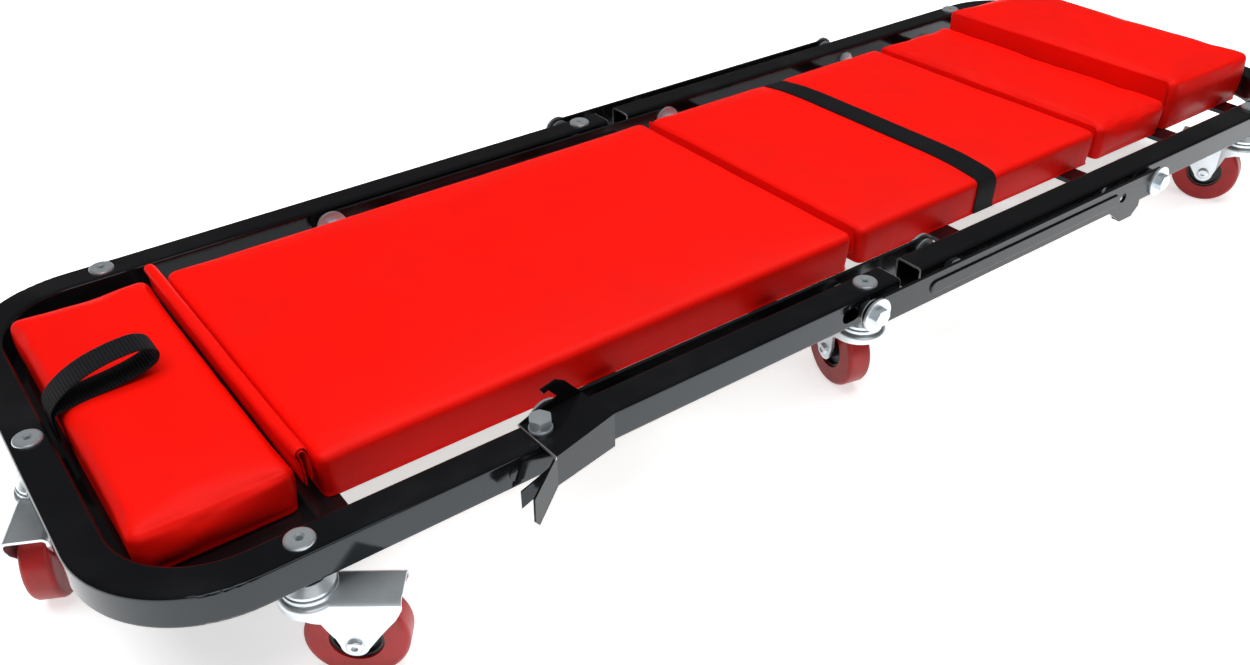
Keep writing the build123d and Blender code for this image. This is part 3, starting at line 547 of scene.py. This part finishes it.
ply = Finish("bare_plywood", PLY_PALE, 0.7)
ply_grain = ply.place.stretch(*PLY_STRETCH).grain(PLY_SCALE, 6.0, 0.6)
ply.feed("Base Color", ply_grain.step(0.3, 0.7).tint((*PLY_PALE, 1), PLY_DARK))
ply.emboss(ply_grain, PLY_DEPTH)
dress(ply, "foot_pad_board", "base_pad_board", "seat_pad_boards")


# Padded covers
# Foam blocks on the boards, each wrapped in bright red smooth vinyl that is
# pulled down over the edges; the top swells a little and the sides draw in.

VINYL_RED = (0.84, 0.0055, 0.0018)
VINYL_DEEP = (0.77, 0.006, 0.003, 1)
PAD_STEP = 0.008
PAD_CORNER = 0.0075
PAD_EDGE = 0.0062
SOFT_CORNER = 0.0085
SOFT_EDGE = 0.0078
PAD_FOOT_EDGE = 0.002
PAD_START_INSET = 0.0008
PAD_SWELL = 0.0022
CROWN_FALL = 0.0034
CROWN_POWER = 2.6
END_SHARES = (0.0, 0.35, 0.7)
SIDE_DRAW = 0.0022
SIDE_DRAW_POWER = 6
UNDER_BOX = 0.0004
OVER_BOX = 0.0008
BOARD_REACH = 0.008
BOARD_CLEAR = 0.0025
FOOT_BAND = 0.0012
SIDE_FROM = 0.97
TOP_PULL = 0.25
SIDE_PULL = 0.22
PULL_REACH = 0.05
LUMP_SCALE = 20
LUMP_SCALE_Z = 8
LUMP_RISE = 0.00035
PULL_SCALE = 70
PULL_SCALE_Z = 12
PULL_DEPTH = 0.0005
PLEAT_ANGLE = 52.0
PLEAT_SPREAD = 9.0
PLEAT_DEPTH = 0.0011
DENT_DEPTH = 0.0011
DENT_EASE = 0.006
DENT_SIDE_SHARE = 0.7
SIM_FRAMES = 16
CLOTH_PRESSURE = 4.0
CLOTH_MASS = 0.25
CLOTH_STIFFNESS = 18.0
CLOTH_BENDING = 1.5
VINYL_CLOUD_SCALE = 9.0
VINYL_GRAIN_SCALE = 1500.0
VINYL_CREASE_SCALE = 20.0
VINYL_PULL_SCALE = 130.0
VINYL_DEPTH = 0.0006

vinyl = Finish("red_vinyl", VINYL_RED, 0.42)
vinyl.hold("Specular IOR Level", 0.1)
vinyl_cloud = vinyl.place.grain(VINYL_CLOUD_SCALE, 3.0)
vinyl_grain = vinyl.place.cells(VINYL_GRAIN_SCALE)
vinyl_crease = vinyl.place.stretch(1.0, 1.6, 1.0).grain(VINYL_CREASE_SCALE, 3.0)
vinyl_streak = vinyl.place.stretch(1.0, 1.0, 0.12).grain(VINYL_PULL_SCALE, 2.0)
vinyl_pull = vinyl_streak * vinyl.mark("pull")
vinyl.feed("Base Color", vinyl_cloud.step(0.3, 0.75).tint((*VINYL_RED, 1), VINYL_DEEP))
vinyl.feed("Roughness", vinyl_cloud * 0.1 + vinyl_grain * 0.06 + 0.36)
vinyl.emboss(vinyl_grain * 0.05 + vinyl_crease * 0.2 + vinyl_pull, VINYL_DEPTH)


def stations(length, end, step):
    """Places along one side of a block, closer together in its rounded ends."""
    near = [end * share for share in END_SHARES]
    count = max(2, round((length - 2 * end) / step))
    inner = [end + (length - 2 * end) * i / count for i in range(count + 1)]
    return near + inner + [length - x for x in reversed(near)]


def push_to_round(a, b):
    """Moves a point of a square corner onto the round corner inside it."""
    reach = max(a, b)
    spread = math.hypot(a, b)
    share = reach / spread if spread > 0 else 1.0
    return a * share, b * share


def rounded_block(low, high, step, corner, edge, foot_edge, inset):
    """Points and faces of a closed block with rounded corners and top edge."""
    middle = (low + high) / 2
    half_x = (high.x - low.x) / 2 - inset
    half_y = (high.y - low.y) / 2 - inset
    tall = high.z - low.z - inset
    rows = [stations(2 * half_x, corner, step), stations(2 * half_y, corner, step)]
    rows.append(stations(tall, edge, step))
    last = [len(row) - 1 for row in rows]
    inner_x, inner_y = half_x - corner, half_y - corner
    index = {}
    points = []
    faces = []

    def place(x, y, z):
        core_x = min(abs(x), inner_x)
        core_y = min(abs(y), inner_y)
        out_x, out_y = push_to_round(abs(x) - core_x, abs(y) - core_y)
        reach = math.hypot(out_x, out_y)
        rim = edge if z > tall / 2 else foot_edge
        gap = min(z, tall - z)
        depth = corner - reach
        if depth < rim and gap < rim:
            in_side, in_top = push_to_round(rim - depth, rim - gap)
            pull = (corner - rim + in_side) / reach
            out_x, out_y = out_x * pull, out_y * pull
            gap = rim - in_top
        z = tall - gap if z > tall / 2 else gap
        x = math.copysign(core_x + out_x, x)
        y = math.copysign(core_y + out_y, y)
        return Vector((middle.x + x, middle.y + y, low.z + z))

    def point(*key):
        if key not in index:
            index[key] = len(points)
            x, y, z = (row[k] for row, k in zip(rows, key))
            points.append(place(x - half_x, y - half_y, z))
        return index[key]

    def sheet(rows_a, rows_b, at, flip):
        for a in range(rows_a):
            for b in range(rows_b):
                quad = [at(a, b), at(a + 1, b), at(a + 1, b + 1), at(a, b + 1)]
                corners = [point(*q) for q in quad]
                faces.append(corners[::-1] if flip else corners)

    nx, ny, nz = last
    sheet(nx, ny, lambda a, b: (a, b, nz), False)
    sheet(nx, ny, lambda a, b: (a, b, 0), True)
    sheet(nx, nz, lambda a, b: (a, 0, b), False)
    sheet(nx, nz, lambda a, b: (a, ny, b), True)
    sheet(ny, nz, lambda a, b: (0, a, b), True)
    sheet(ny, nz, lambda a, b: (nx, a, b), False)
    return points, faces


def give_mark(piece, name, values):
    """Stores one number per point of a piece, for its material to read."""
    piece.data.attributes.new(name, "FLOAT", "POINT").data.foreach_set("value", values)


def swell(piece, start, cap):
    """Blows a pad up as cloth; each point ends within cap of where it was."""
    cloth = piece.modifiers.new("cloth", "CLOTH")
    cloth.settings.use_pressure = True
    cloth.settings.uniform_pressure_force = CLOTH_PRESSURE
    cloth.settings.effector_weights.gravity = 0.0
    cloth.settings.mass = CLOTH_MASS
    cloth.settings.tension_stiffness = CLOTH_STIFFNESS
    cloth.settings.compression_stiffness = CLOTH_STIFFNESS
    cloth.settings.bending_stiffness = CLOTH_BENDING
    for number in range(1, SIM_FRAMES + 1):
        scene.frame_set(number)
    graph = bpy.context.evaluated_depsgraph_get()
    blown = piece.evaluated_get(graph).to_mesh()
    end = np.array([v.co[:] for v in blown.vertices])
    piece.evaluated_get(graph).to_mesh_clear()
    piece.modifiers.remove(cloth)
    scene.frame_set(1)
    move = end - start
    length = np.linalg.norm(move, axis=1, keepdims=True)
    return start + move * np.minimum(1.0, cap / np.maximum(length, 1e-9))


def finish_levels(piece):
    """Smooths a piece with a subdivision surface, the same in view and render."""
    smooth = piece.modifiers.new("smooth", "SUBSURF")
    smooth.levels = 1
    smooth.render_levels = 1


def pad_cover(name, node, body, seed, corner=PAD_CORNER, edge=PAD_EDGE, dent=None):
    """One padded cover in place of its CAD solid."""
    low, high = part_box(node)
    points, faces = rounded_block(
        low, high, PAD_STEP, corner, edge, PAD_FOOT_EDGE, PAD_START_INSET
    )
    middle = (low + high) / 2
    half = (high - low) / 2
    tall = high.z - low.z
    for p in points:
        u = (p.x - middle.x) / half.x
        v = (p.y - middle.y) / half.y
        w = (p.z - low.z) / tall
        fall = max(0.0, 1 - abs(u) ** CROWN_POWER) * max(0.0, 1 - abs(v) ** CROWN_POWER)
        p.z -= CROWN_FALL * w * (1 - fall)
        draw = SIDE_DRAW * (1 - math.sin(math.pi * min(1.0, w * 1.15) * 0.5 + 0.25))
        p.x -= math.copysign(draw, u) * abs(u) ** SIDE_DRAW_POWER
        p.y -= math.copysign(draw, v) * abs(v) ** SIDE_DRAW_POWER
    piece = mesh_piece(name, points, faces, vinyl)
    start = np.array([v.co[:] for v in piece.data.vertices])
    end = swell(piece, start, PAD_SWELL)
    end = np.clip(end, np.array(low) - UNDER_BOX, np.array(high) + OVER_BOX)
    board = half - Vector((BOARD_REACH, BOARD_REACH, 0.0))
    pulls = []
    for vertex, p0, p1 in zip(piece.data.vertices, start, end):
        p = Vector(p1)
        w = (p0[2] - low.z) / tall
        u, v = p0[0] - middle.x, p0[1] - middle.y
        side = max(abs(u) / half.x, abs(v) / half.y) > SIDE_FROM
        near_corner = math.exp(-math.hypot(half.x - abs(u), half.y - abs(v)) / PULL_REACH)
        pulls.append(near_corner + SIDE_PULL if side else near_corner * TOP_PULL)
        if p0[2] < low.z + FOOT_BAND:
            inside = abs(u) < board.x and abs(v) < board.y
            p = Vector((p0[0], p0[1], low.z + (BOARD_CLEAR if inside else 0.0)))
        else:
            x, y, z = p0
            lump_at = (x * LUMP_SCALE, y * LUMP_SCALE, z * LUMP_SCALE_Z + seed)
            pull_at = (x * PULL_SCALE, y * PULL_SCALE, z * PULL_SCALE_Z - seed)
            lump, pull = noise.noise(Vector(lump_at)), noise.noise(Vector(pull_at))
            out = Vector((u / half.x, v / half.y, 0.0)).normalized()
            corner_x, corner_y = abs(u) - half.x + corner, abs(v) - half.y + corner
            if side and min(corner_x, corner_y) > 0:
                turned = (math.degrees(math.atan2(corner_y, corner_x)) - PLEAT_ANGLE) / PLEAT_SPREAD
                p -= out * PLEAT_DEPTH * (1 - w) * math.exp(-turned ** 2)
            p.z += LUMP_RISE * lump * w
            p += out * (PULL_DEPTH if side else 0.0) * pull * math.sin(math.pi * w)
            if dent:
                x0, x1 = dent
                away = abs((p0[0] - (x0 + x1) / 2) / ((x1 - x0) / 2 + DENT_EASE))
                near = max(0.0, 1 - away ** 4)
                p.z -= DENT_DEPTH * near * w
                side_dent = DENT_DEPTH * DENT_SIDE_SHARE * near * abs(v / half.y) ** 12
                p.y -= math.copysign(side_dent, v)
        vertex.co = p
    give_mark(piece, "pull", pulls)
    piece.data.update()
    finish_levels(piece)
    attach(piece, body)
    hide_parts(node)
    return piece


strap_low, strap_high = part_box("pad_strap")
strap_span = (strap_low.x, strap_high.x)
foot_cover = pad_cover("foot_cover", "foot_pad", "foot_lid", 1.7, SOFT_CORNER, SOFT_EDGE)
base_cover = pad_cover("base_cover", "base_pad", "base", 4.1)
seat_cover = pad_cover("seat_cover", "seat_pad", "seat", 7.3, dent=strap_span)
middle_cover = pad_cover("middle_cover", "middle_pad", "seat", 9.9)
head_cover = pad_cover("head_cover", "head_pad", "seat", 12.2)


# Vinyl folds
# The foot pad hangs on a strip of the same vinyl, folded double into a bead
# between the two pads; smaller flaps stand in the gaps of the seat half.

FOLD_THICKNESS = 0.0012
FOLD_ROW = 0.007
LEG_SHARE = 0.72
BEAD_LEAN = 0.002
BEAD_SPRING = 0.0045
LIP_THICKNESS = 0.0013
LIP_GAP = 0.0004
LIP_HEIGHT = 0.025
LIP_INSET = 0.007
LIP_RISE = 0.0012
LIP_ROWS = 7
LIP_WAVE = 0.0007
LIP_BOW = 0.0005
PAD_CROWN = 0.0035
STRIP_PULL = 0.2
BEAD_STEPS = 14
BEAD_CLEAR = 0.0002
BEAD_WAVE = 0.0002
BEAD_WAVE_SCALE = 30.0
LIP_WAVE_SCALE = 16.0
END_REACH = 0.05
CORE_INSET = 1.5 * FOLD_THICKNESS
CORE_LEFT_LEG = 0.004
CORE_RIGHT_LEG = 0.001
CORE_SHOWS = 0.001


def turn_outward(piece):
    """Makes every face of a closed piece look outwards."""
    volume = 0.0
    mesh = piece.data
    for face in mesh.polygons:
        fan = [mesh.vertices[k].co for k in face.vertices]
        volume += sum(fan[0].dot(fan[k].cross(fan[k + 1])) for k in range(1, len(fan) - 1))
    if volume < 0:
        mesh.flip_normals()


def sheet_along_y(name, profile, y0, y1, thickness, finish, move):
    """A bent sheet: a profile in X and Z drawn along Y, with a thickness.

    move takes a point, its share along the profile and its share along Y.
    """
    count = max(2, round((y1 - y0) / FOLD_ROW))
    flats = []
    for i, p in enumerate(profile):
        before = profile[max(0, i - 1)]
        after = profile[min(len(profile) - 1, i + 1)]
        way = (after - before).normalized()
        flats.append((p, Vector((-way.y, way.x)) * (thickness / 2)))
    points = []
    for j in range(count + 1):
        y = y0 + (y1 - y0) * j / count
        for i, (p, out) in enumerate(flats):
            share = i / (len(flats) - 1)
            for q in (p + out, p - out):
                points.append(move(Vector((q.x, y, q.y)), share, j / count))
    wide = 2 * len(flats)
    faces = []
    for j in range(count):
        row, next_row = j * wide, (j + 1) * wide
        for i in range(len(flats) - 1):
            a, b = 2 * i, 2 * i + 2
            faces.append((row + a, row + b, next_row + b, next_row + a))
            faces.append((row + b + 1, row + a + 1, next_row + a + 1, next_row + b + 1))
        end = wide - 2
        faces.append((row + 1, row, next_row, next_row + 1))
        faces.append((row + end, row + end + 1, next_row + end + 1, next_row + end))
    last = count * wide
    for i in range(len(flats) - 1):
        a, b = 2 * i, 2 * i + 2
        faces.append((a, a + 1, b + 1, b))
        faces.append((last + b, last + b + 1, last + a + 1, last + a))
    piece = mesh_piece(name, points, faces, finish)
    turn_outward(piece)
    return piece


def bead_profile(x, crest, radius, leg_half, left_leg, right_leg):
    """Up one leg, round the bead and down the other leg, in X and Z."""
    dip = math.acos(leg_half / radius)
    swept = (math.pi + 2 * dip) / BEAD_STEPS
    arc = [math.pi + dip - swept * k for k in range(BEAD_STEPS + 1)]
    round_top = [Vector((x + radius * math.cos(a), crest + radius * math.sin(a))) for a in arc]
    first = round_top[0] - Vector((0.0, left_leg))
    last = round_top[-1] - Vector((0.0, right_leg))
    return [first, (first + round_top[0]) / 2, *round_top, (last + round_top[-1]) / 2, last]


bead_low, bead_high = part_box("fold_bead")
bead_x = (bead_low.x + bead_high.x) / 2
bead_radius = (bead_high.x - bead_low.x) / 2 - FOLD_THICKNESS / 2 - BEAD_CLEAR
bead_crest = bead_high.z - FOLD_THICKNESS / 2 - bead_radius
bead_leg_half = LEG_SHARE * bead_radius
bead_leg = bead_crest - math.sqrt(bead_radius**2 - bead_leg_half**2) - bead_low.z


def soft_bead(point, share, along_share):
    """Small waves of hand-folded vinyl, and a near end that springs up."""
    wave = noise.noise(Vector((share * 3.0, point.y * BEAD_WAVE_SCALE, 2.2)))
    height = math.sin(math.pi * share)
    spring = BEAD_SPRING * math.exp(-(point.y - bead_low.y) / END_REACH) * height
    shift = BEAD_WAVE * wave - BEAD_LEAN * height
    return point + Vector((shift, 0.0, 2 * BEAD_WAVE * wave + spring))


def folded_strip(name, profile, y0, y1):
    """One layer of the fold."""
    piece = sheet_along_y(name, profile, y0, y1, FOLD_THICKNESS, vinyl, soft_bead)
    give_mark(piece, "pull", [STRIP_PULL] * len(piece.data.vertices))
    across = sum((b - a).length for a, b in zip(profile, profile[1:]))
    finish_levels(piece)
    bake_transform(piece)
    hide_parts("fold_bead")


outer_profile = bead_profile(bead_x, bead_crest, bead_radius, bead_leg_half, bead_leg, bead_leg)
folded_strip("fold_cover", outer_profile, bead_low.y, bead_high.y)
core_radius = bead_radius - CORE_INSET
core_half = LEG_SHARE * core_radius
core_legs = (bead_leg + CORE_LEFT_LEG, bead_leg + CORE_RIGHT_LEG)
core_profile = bead_profile(bead_x, bead_crest, core_radius, core_half, *core_legs)
folded_strip("fold_core", core_profile, bead_low.y - CORE_SHOWS, bead_high.y)


def pad_lip(name, node, lean):
    """A vinyl flap that stands against the left end of a seat-half pad."""
    low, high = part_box(node)
    x = low.x - LIP_GAP - LIP_THICKNESS / 2
    top = high.z - PAD_CROWN + LIP_RISE
    heights = [top - LIP_HEIGHT + LIP_HEIGHT * k / LIP_ROWS for k in range(LIP_ROWS + 1)]
    profile = [Vector((x, z)) for z in heights]
    y0, y1 = low.y + LIP_INSET, high.y - LIP_INSET

    def wavy(point, share, along_share):
        wave = noise.noise(Vector((point.y * LIP_WAVE_SCALE, share * 1.5, high.z * 40.0)))
        curl = lean * share**3 * math.exp(-along_share / END_REACH)
        bow = LIP_BOW * share * abs(wave)
        return point + Vector((-bow - curl, 0.0, LIP_WAVE * share * wave + curl / 2))

    piece = sheet_along_y(name, profile, y0, y1, LIP_THICKNESS, vinyl, wavy)
    give_mark(piece, "pull", [STRIP_PULL] * len(piece.data.vertices))
    finish_levels(piece)
    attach(piece, "seat")
    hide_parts("seat_pad_lips")


pad_lip("seat_lip", "seat_pad", 0.0)
pad_lip("middle_lip", "middle_pad", 0.0)
pad_lip("head_lip", "head_pad", 0.0012)


# Webbing
# A black woven band goes round the seat pad, and a ribbed band is folded into
# the loop that lifts the foot pad.

WEBBING_BLACK = (0.0035, 0.0035, 0.004)
# Lighter grey used both for worn fuzz and for painted glints along the weave
WEBBING_WORN_AND_GLINT = (0.016, 0.016, 0.018, 1)
WEAVE_PITCH = 0.0026
WEAVE_YARN_PITCH = 0.0013
RIB_PITCH = 0.0023
RIB_YARN_PITCH = 0.0011
FUZZ_SCALE = 900.0
WEAVE_DEPTH = 0.00045
BAND_SHARES = (-1.0, -0.96, -0.6, -0.2, 0.2, 0.6, 0.96, 1.0)


def webbing(name, ribbed):
    """Woven nylon: a diagonal twill, or ribs across the band."""
    cloth = Finish(name, WEBBING_BLACK, 0.62)
    cloth.hold("Specular IOR Level", 0.12)
    turn = 2 * math.pi
    along_band = cloth.mark("along")
    across_band = cloth.mark("across")
    if ribbed:
        weave = (along_band * (turn / RIB_PITCH)).sine().step(-0.6, 0.9)
        yarn = (across_band * (turn / RIB_YARN_PITCH)).sine() * 0.12
    else:
        weave = ((along_band + across_band) * (turn / WEAVE_PITCH)).sine() * 0.5 + 0.5
        yarn = ((along_band - across_band) * (turn / WEAVE_YARN_PITCH)).sine() * 0.3
    fuzz = cloth.place.grain(FUZZ_SCALE, 2.0)
    height = weave + yarn + fuzz * 0.35
    # Painted glint: the weave or rib pattern tints the black towards grey in lines across the band,
    # standing in for light catching the yarn; the fuzz adds real worn spots
    cloth.feed("Base Color", (weave * 0.6 + fuzz * 0.5).tint((*WEBBING_BLACK, 1), WEBBING_WORN_AND_GLINT))
    cloth.feed("Roughness", fuzz * 0.2 + 0.5)
    cloth.emboss(height, WEAVE_DEPTH)
    return cloth


def ribbon(name, path, side, width, thickness, finish):
    """A flat band along a path, with rounded long edges and closed ends."""
    section = []
    for share in BAND_SHARES:
        lift = 0.0 if abs(share) == 1.0 else 0.5
        section.append((share * width / 2, lift * thickness))
    section += [(x, -z) for x, z in reversed(section[1:-1])]
    points, alongs, acrosses, faces = [], [], [], []
    length = 0.0
    ring = len(section)
    for i, p in enumerate(path):
        before = path[max(0, i - 1)]
        after = path[min(len(path) - 1, i + 1)]
        out = side.cross((after - before).normalized())
        length += (p - before).length
        for x, z in section:
            points.append(p + side * x + out * z)
            alongs.append(length)
            acrosses.append(x)
        if i:
            row, last_row = i * ring, (i - 1) * ring
            for k in range(ring):
                n = (k + 1) % ring
                faces.append((last_row + k, last_row + n, row + n, row + k))
    faces.append(tuple(range(ring)))
    faces.append(tuple(reversed(range(len(points) - ring, len(points)))))
    piece = mesh_piece(name, points, faces, finish)
    turn_outward(piece)
    give_mark(piece, "along", alongs)
    give_mark(piece, "across", acrosses)
    finish_levels(piece)
    return piece


def rounded_path(points, rounds):
    """Cuts the corners of a path again and again until it is smooth."""
    for _ in range(rounds):
        cut = [points[0]]
        for a, b in zip(points, points[1:]):
            cut += [a * 0.75 + b * 0.25, a * 0.25 + b * 0.75]
        points = cut + [points[-1]]
    return points


STRAP_THICKNESS = 0.0014
STRAP_STEP = 0.006
STRAP_CLEAR = 0.0003
STRAP_FOOT = 0.001
STRAP_WALL_ROWS = 6
STRAP_EDGE_ANGLES = (15, 45, 75)
STRAP_REACH = 0.05
strap_x = (strap_low.x + strap_high.x) / 2
seat_low, seat_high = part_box("seat_pad")
bpy.context.view_layer.update()
pad_surface = BVHTree.FromObject(seat_cover, bpy.context.evaluated_depsgraph_get())
strap_out = STRAP_CLEAR + STRAP_THICKNESS / 2
half_wide = (seat_high.y - seat_low.y) / 2
shoulder = seat_high.z - 2 * PAD_CORNER
heart_y = half_wide - 2 * PAD_EDGE
heart_z = seat_high.z - PAD_CROWN - 2 * PAD_EDGE
strap_path = []
for side_sign in (-1.0, 1.0):
    wall = []
    outward = Vector((0, side_sign, 0))
    for k in range(STRAP_WALL_ROWS):
        z = seat_low.z + STRAP_FOOT + (shoulder - seat_low.z) * k / (STRAP_WALL_ROWS - 1)
        start = Vector((strap_x, side_sign * 2 * half_wide, z))
        wall.append(pad_surface.ray_cast(start, -outward)[0] + outward * strap_out)
    for angle in STRAP_EDGE_ANGLES:
        tilt = math.radians(angle)
        aim = Vector((0, side_sign * math.cos(tilt), math.sin(tilt)))
        start = Vector((strap_x, side_sign * heart_y, heart_z)) + aim * STRAP_REACH
        wall.append(pad_surface.ray_cast(start, -aim)[0] + aim * strap_out)
    if side_sign < 0:
        strap_path = wall
        reach = half_wide - 3 * PAD_EDGE
        count = round(2 * reach / STRAP_STEP)
        for k in range(count + 1):
            start = Vector((strap_x, -reach + 2 * reach * k / count, 2 * seat_high.z))
            hit = pad_surface.ray_cast(start, Vector((0, 0, -1)))
            strap_path.append(hit[0] + Vector((0, 0, strap_out)))
    else:
        strap_path += wall[::-1]
strap = ribbon(
    "seat_strap", strap_path, Vector((1, 0, 0)), strap_high.x - strap_low.x, STRAP_THICKNESS,
    webbing("black_twill_webbing", False),
)
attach(strap, "seat")
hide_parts("pad_strap")

LOOP_THICKNESS = 0.0013
LOOP_TAIL_GAP = 0.0006
LOOP_TAIL_LIFT = 0.001
# Pairs of a run in X, from the loop's tail, the pad's edge or the loop's far
# end, and a height over the pad's top edge.
LOOP_START = ((0.0, -0.004), (0.0008, 0.0045))
LOOP_OUT = ((0.009, 0.0145), (0.024, 0.0215), (0.040, 0.0252), (0.054, 0.0266))
LOOP_BEND = ((0.009, 0.0262), (0.0025, 0.0225), (0.0009, 0.0185), (0.004, 0.0132))
LOOP_BACK = ((0.057, 0.0088), (0.040, 0.0058), (0.022, 0.0042), (0.007, 0.0022))
LOOP_END = ((0.0008, 0.0012), (0.0, -0.006))
loop_low, loop_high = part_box("pull_loop")
foot_low, foot_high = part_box("foot_pad")
edge_z = foot_high.z - PAD_CROWN
inner_x = foot_low.x - LOOP_TAIL_GAP - LOOP_THICKNESS / 2
outer_x = inner_x - LOOP_THICKNESS - LOOP_TAIL_GAP / 2
loop_route = [(outer_x, loop_low.z)]
loop_route += [(outer_x + x, edge_z + z) for x, z in LOOP_START]
loop_route += [(foot_low.x + x, edge_z + z) for x, z in LOOP_OUT]
loop_route += [(loop_high.x - x, edge_z + z) for x, z in LOOP_BEND]
loop_route += [(foot_low.x + x, edge_z + z) for x, z in LOOP_BACK]
loop_route += [(inner_x + x, edge_z + z) for x, z in LOOP_END]
loop_route.append((inner_x, loop_low.z + LOOP_TAIL_LIFT))
loop_middle_y = (loop_low.y + loop_high.y) / 2
loop_path = rounded_path([Vector((x, loop_middle_y, z)) for x, z in loop_route], 3)
loop = ribbon(
    "lift_loop", loop_path, Vector((0, 1, 0)), loop_high.y - loop_low.y, LOOP_THICKNESS,
    webbing("black_ribbed_webbing", True),
)
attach(loop, "foot_lid")
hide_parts("pull_loop")
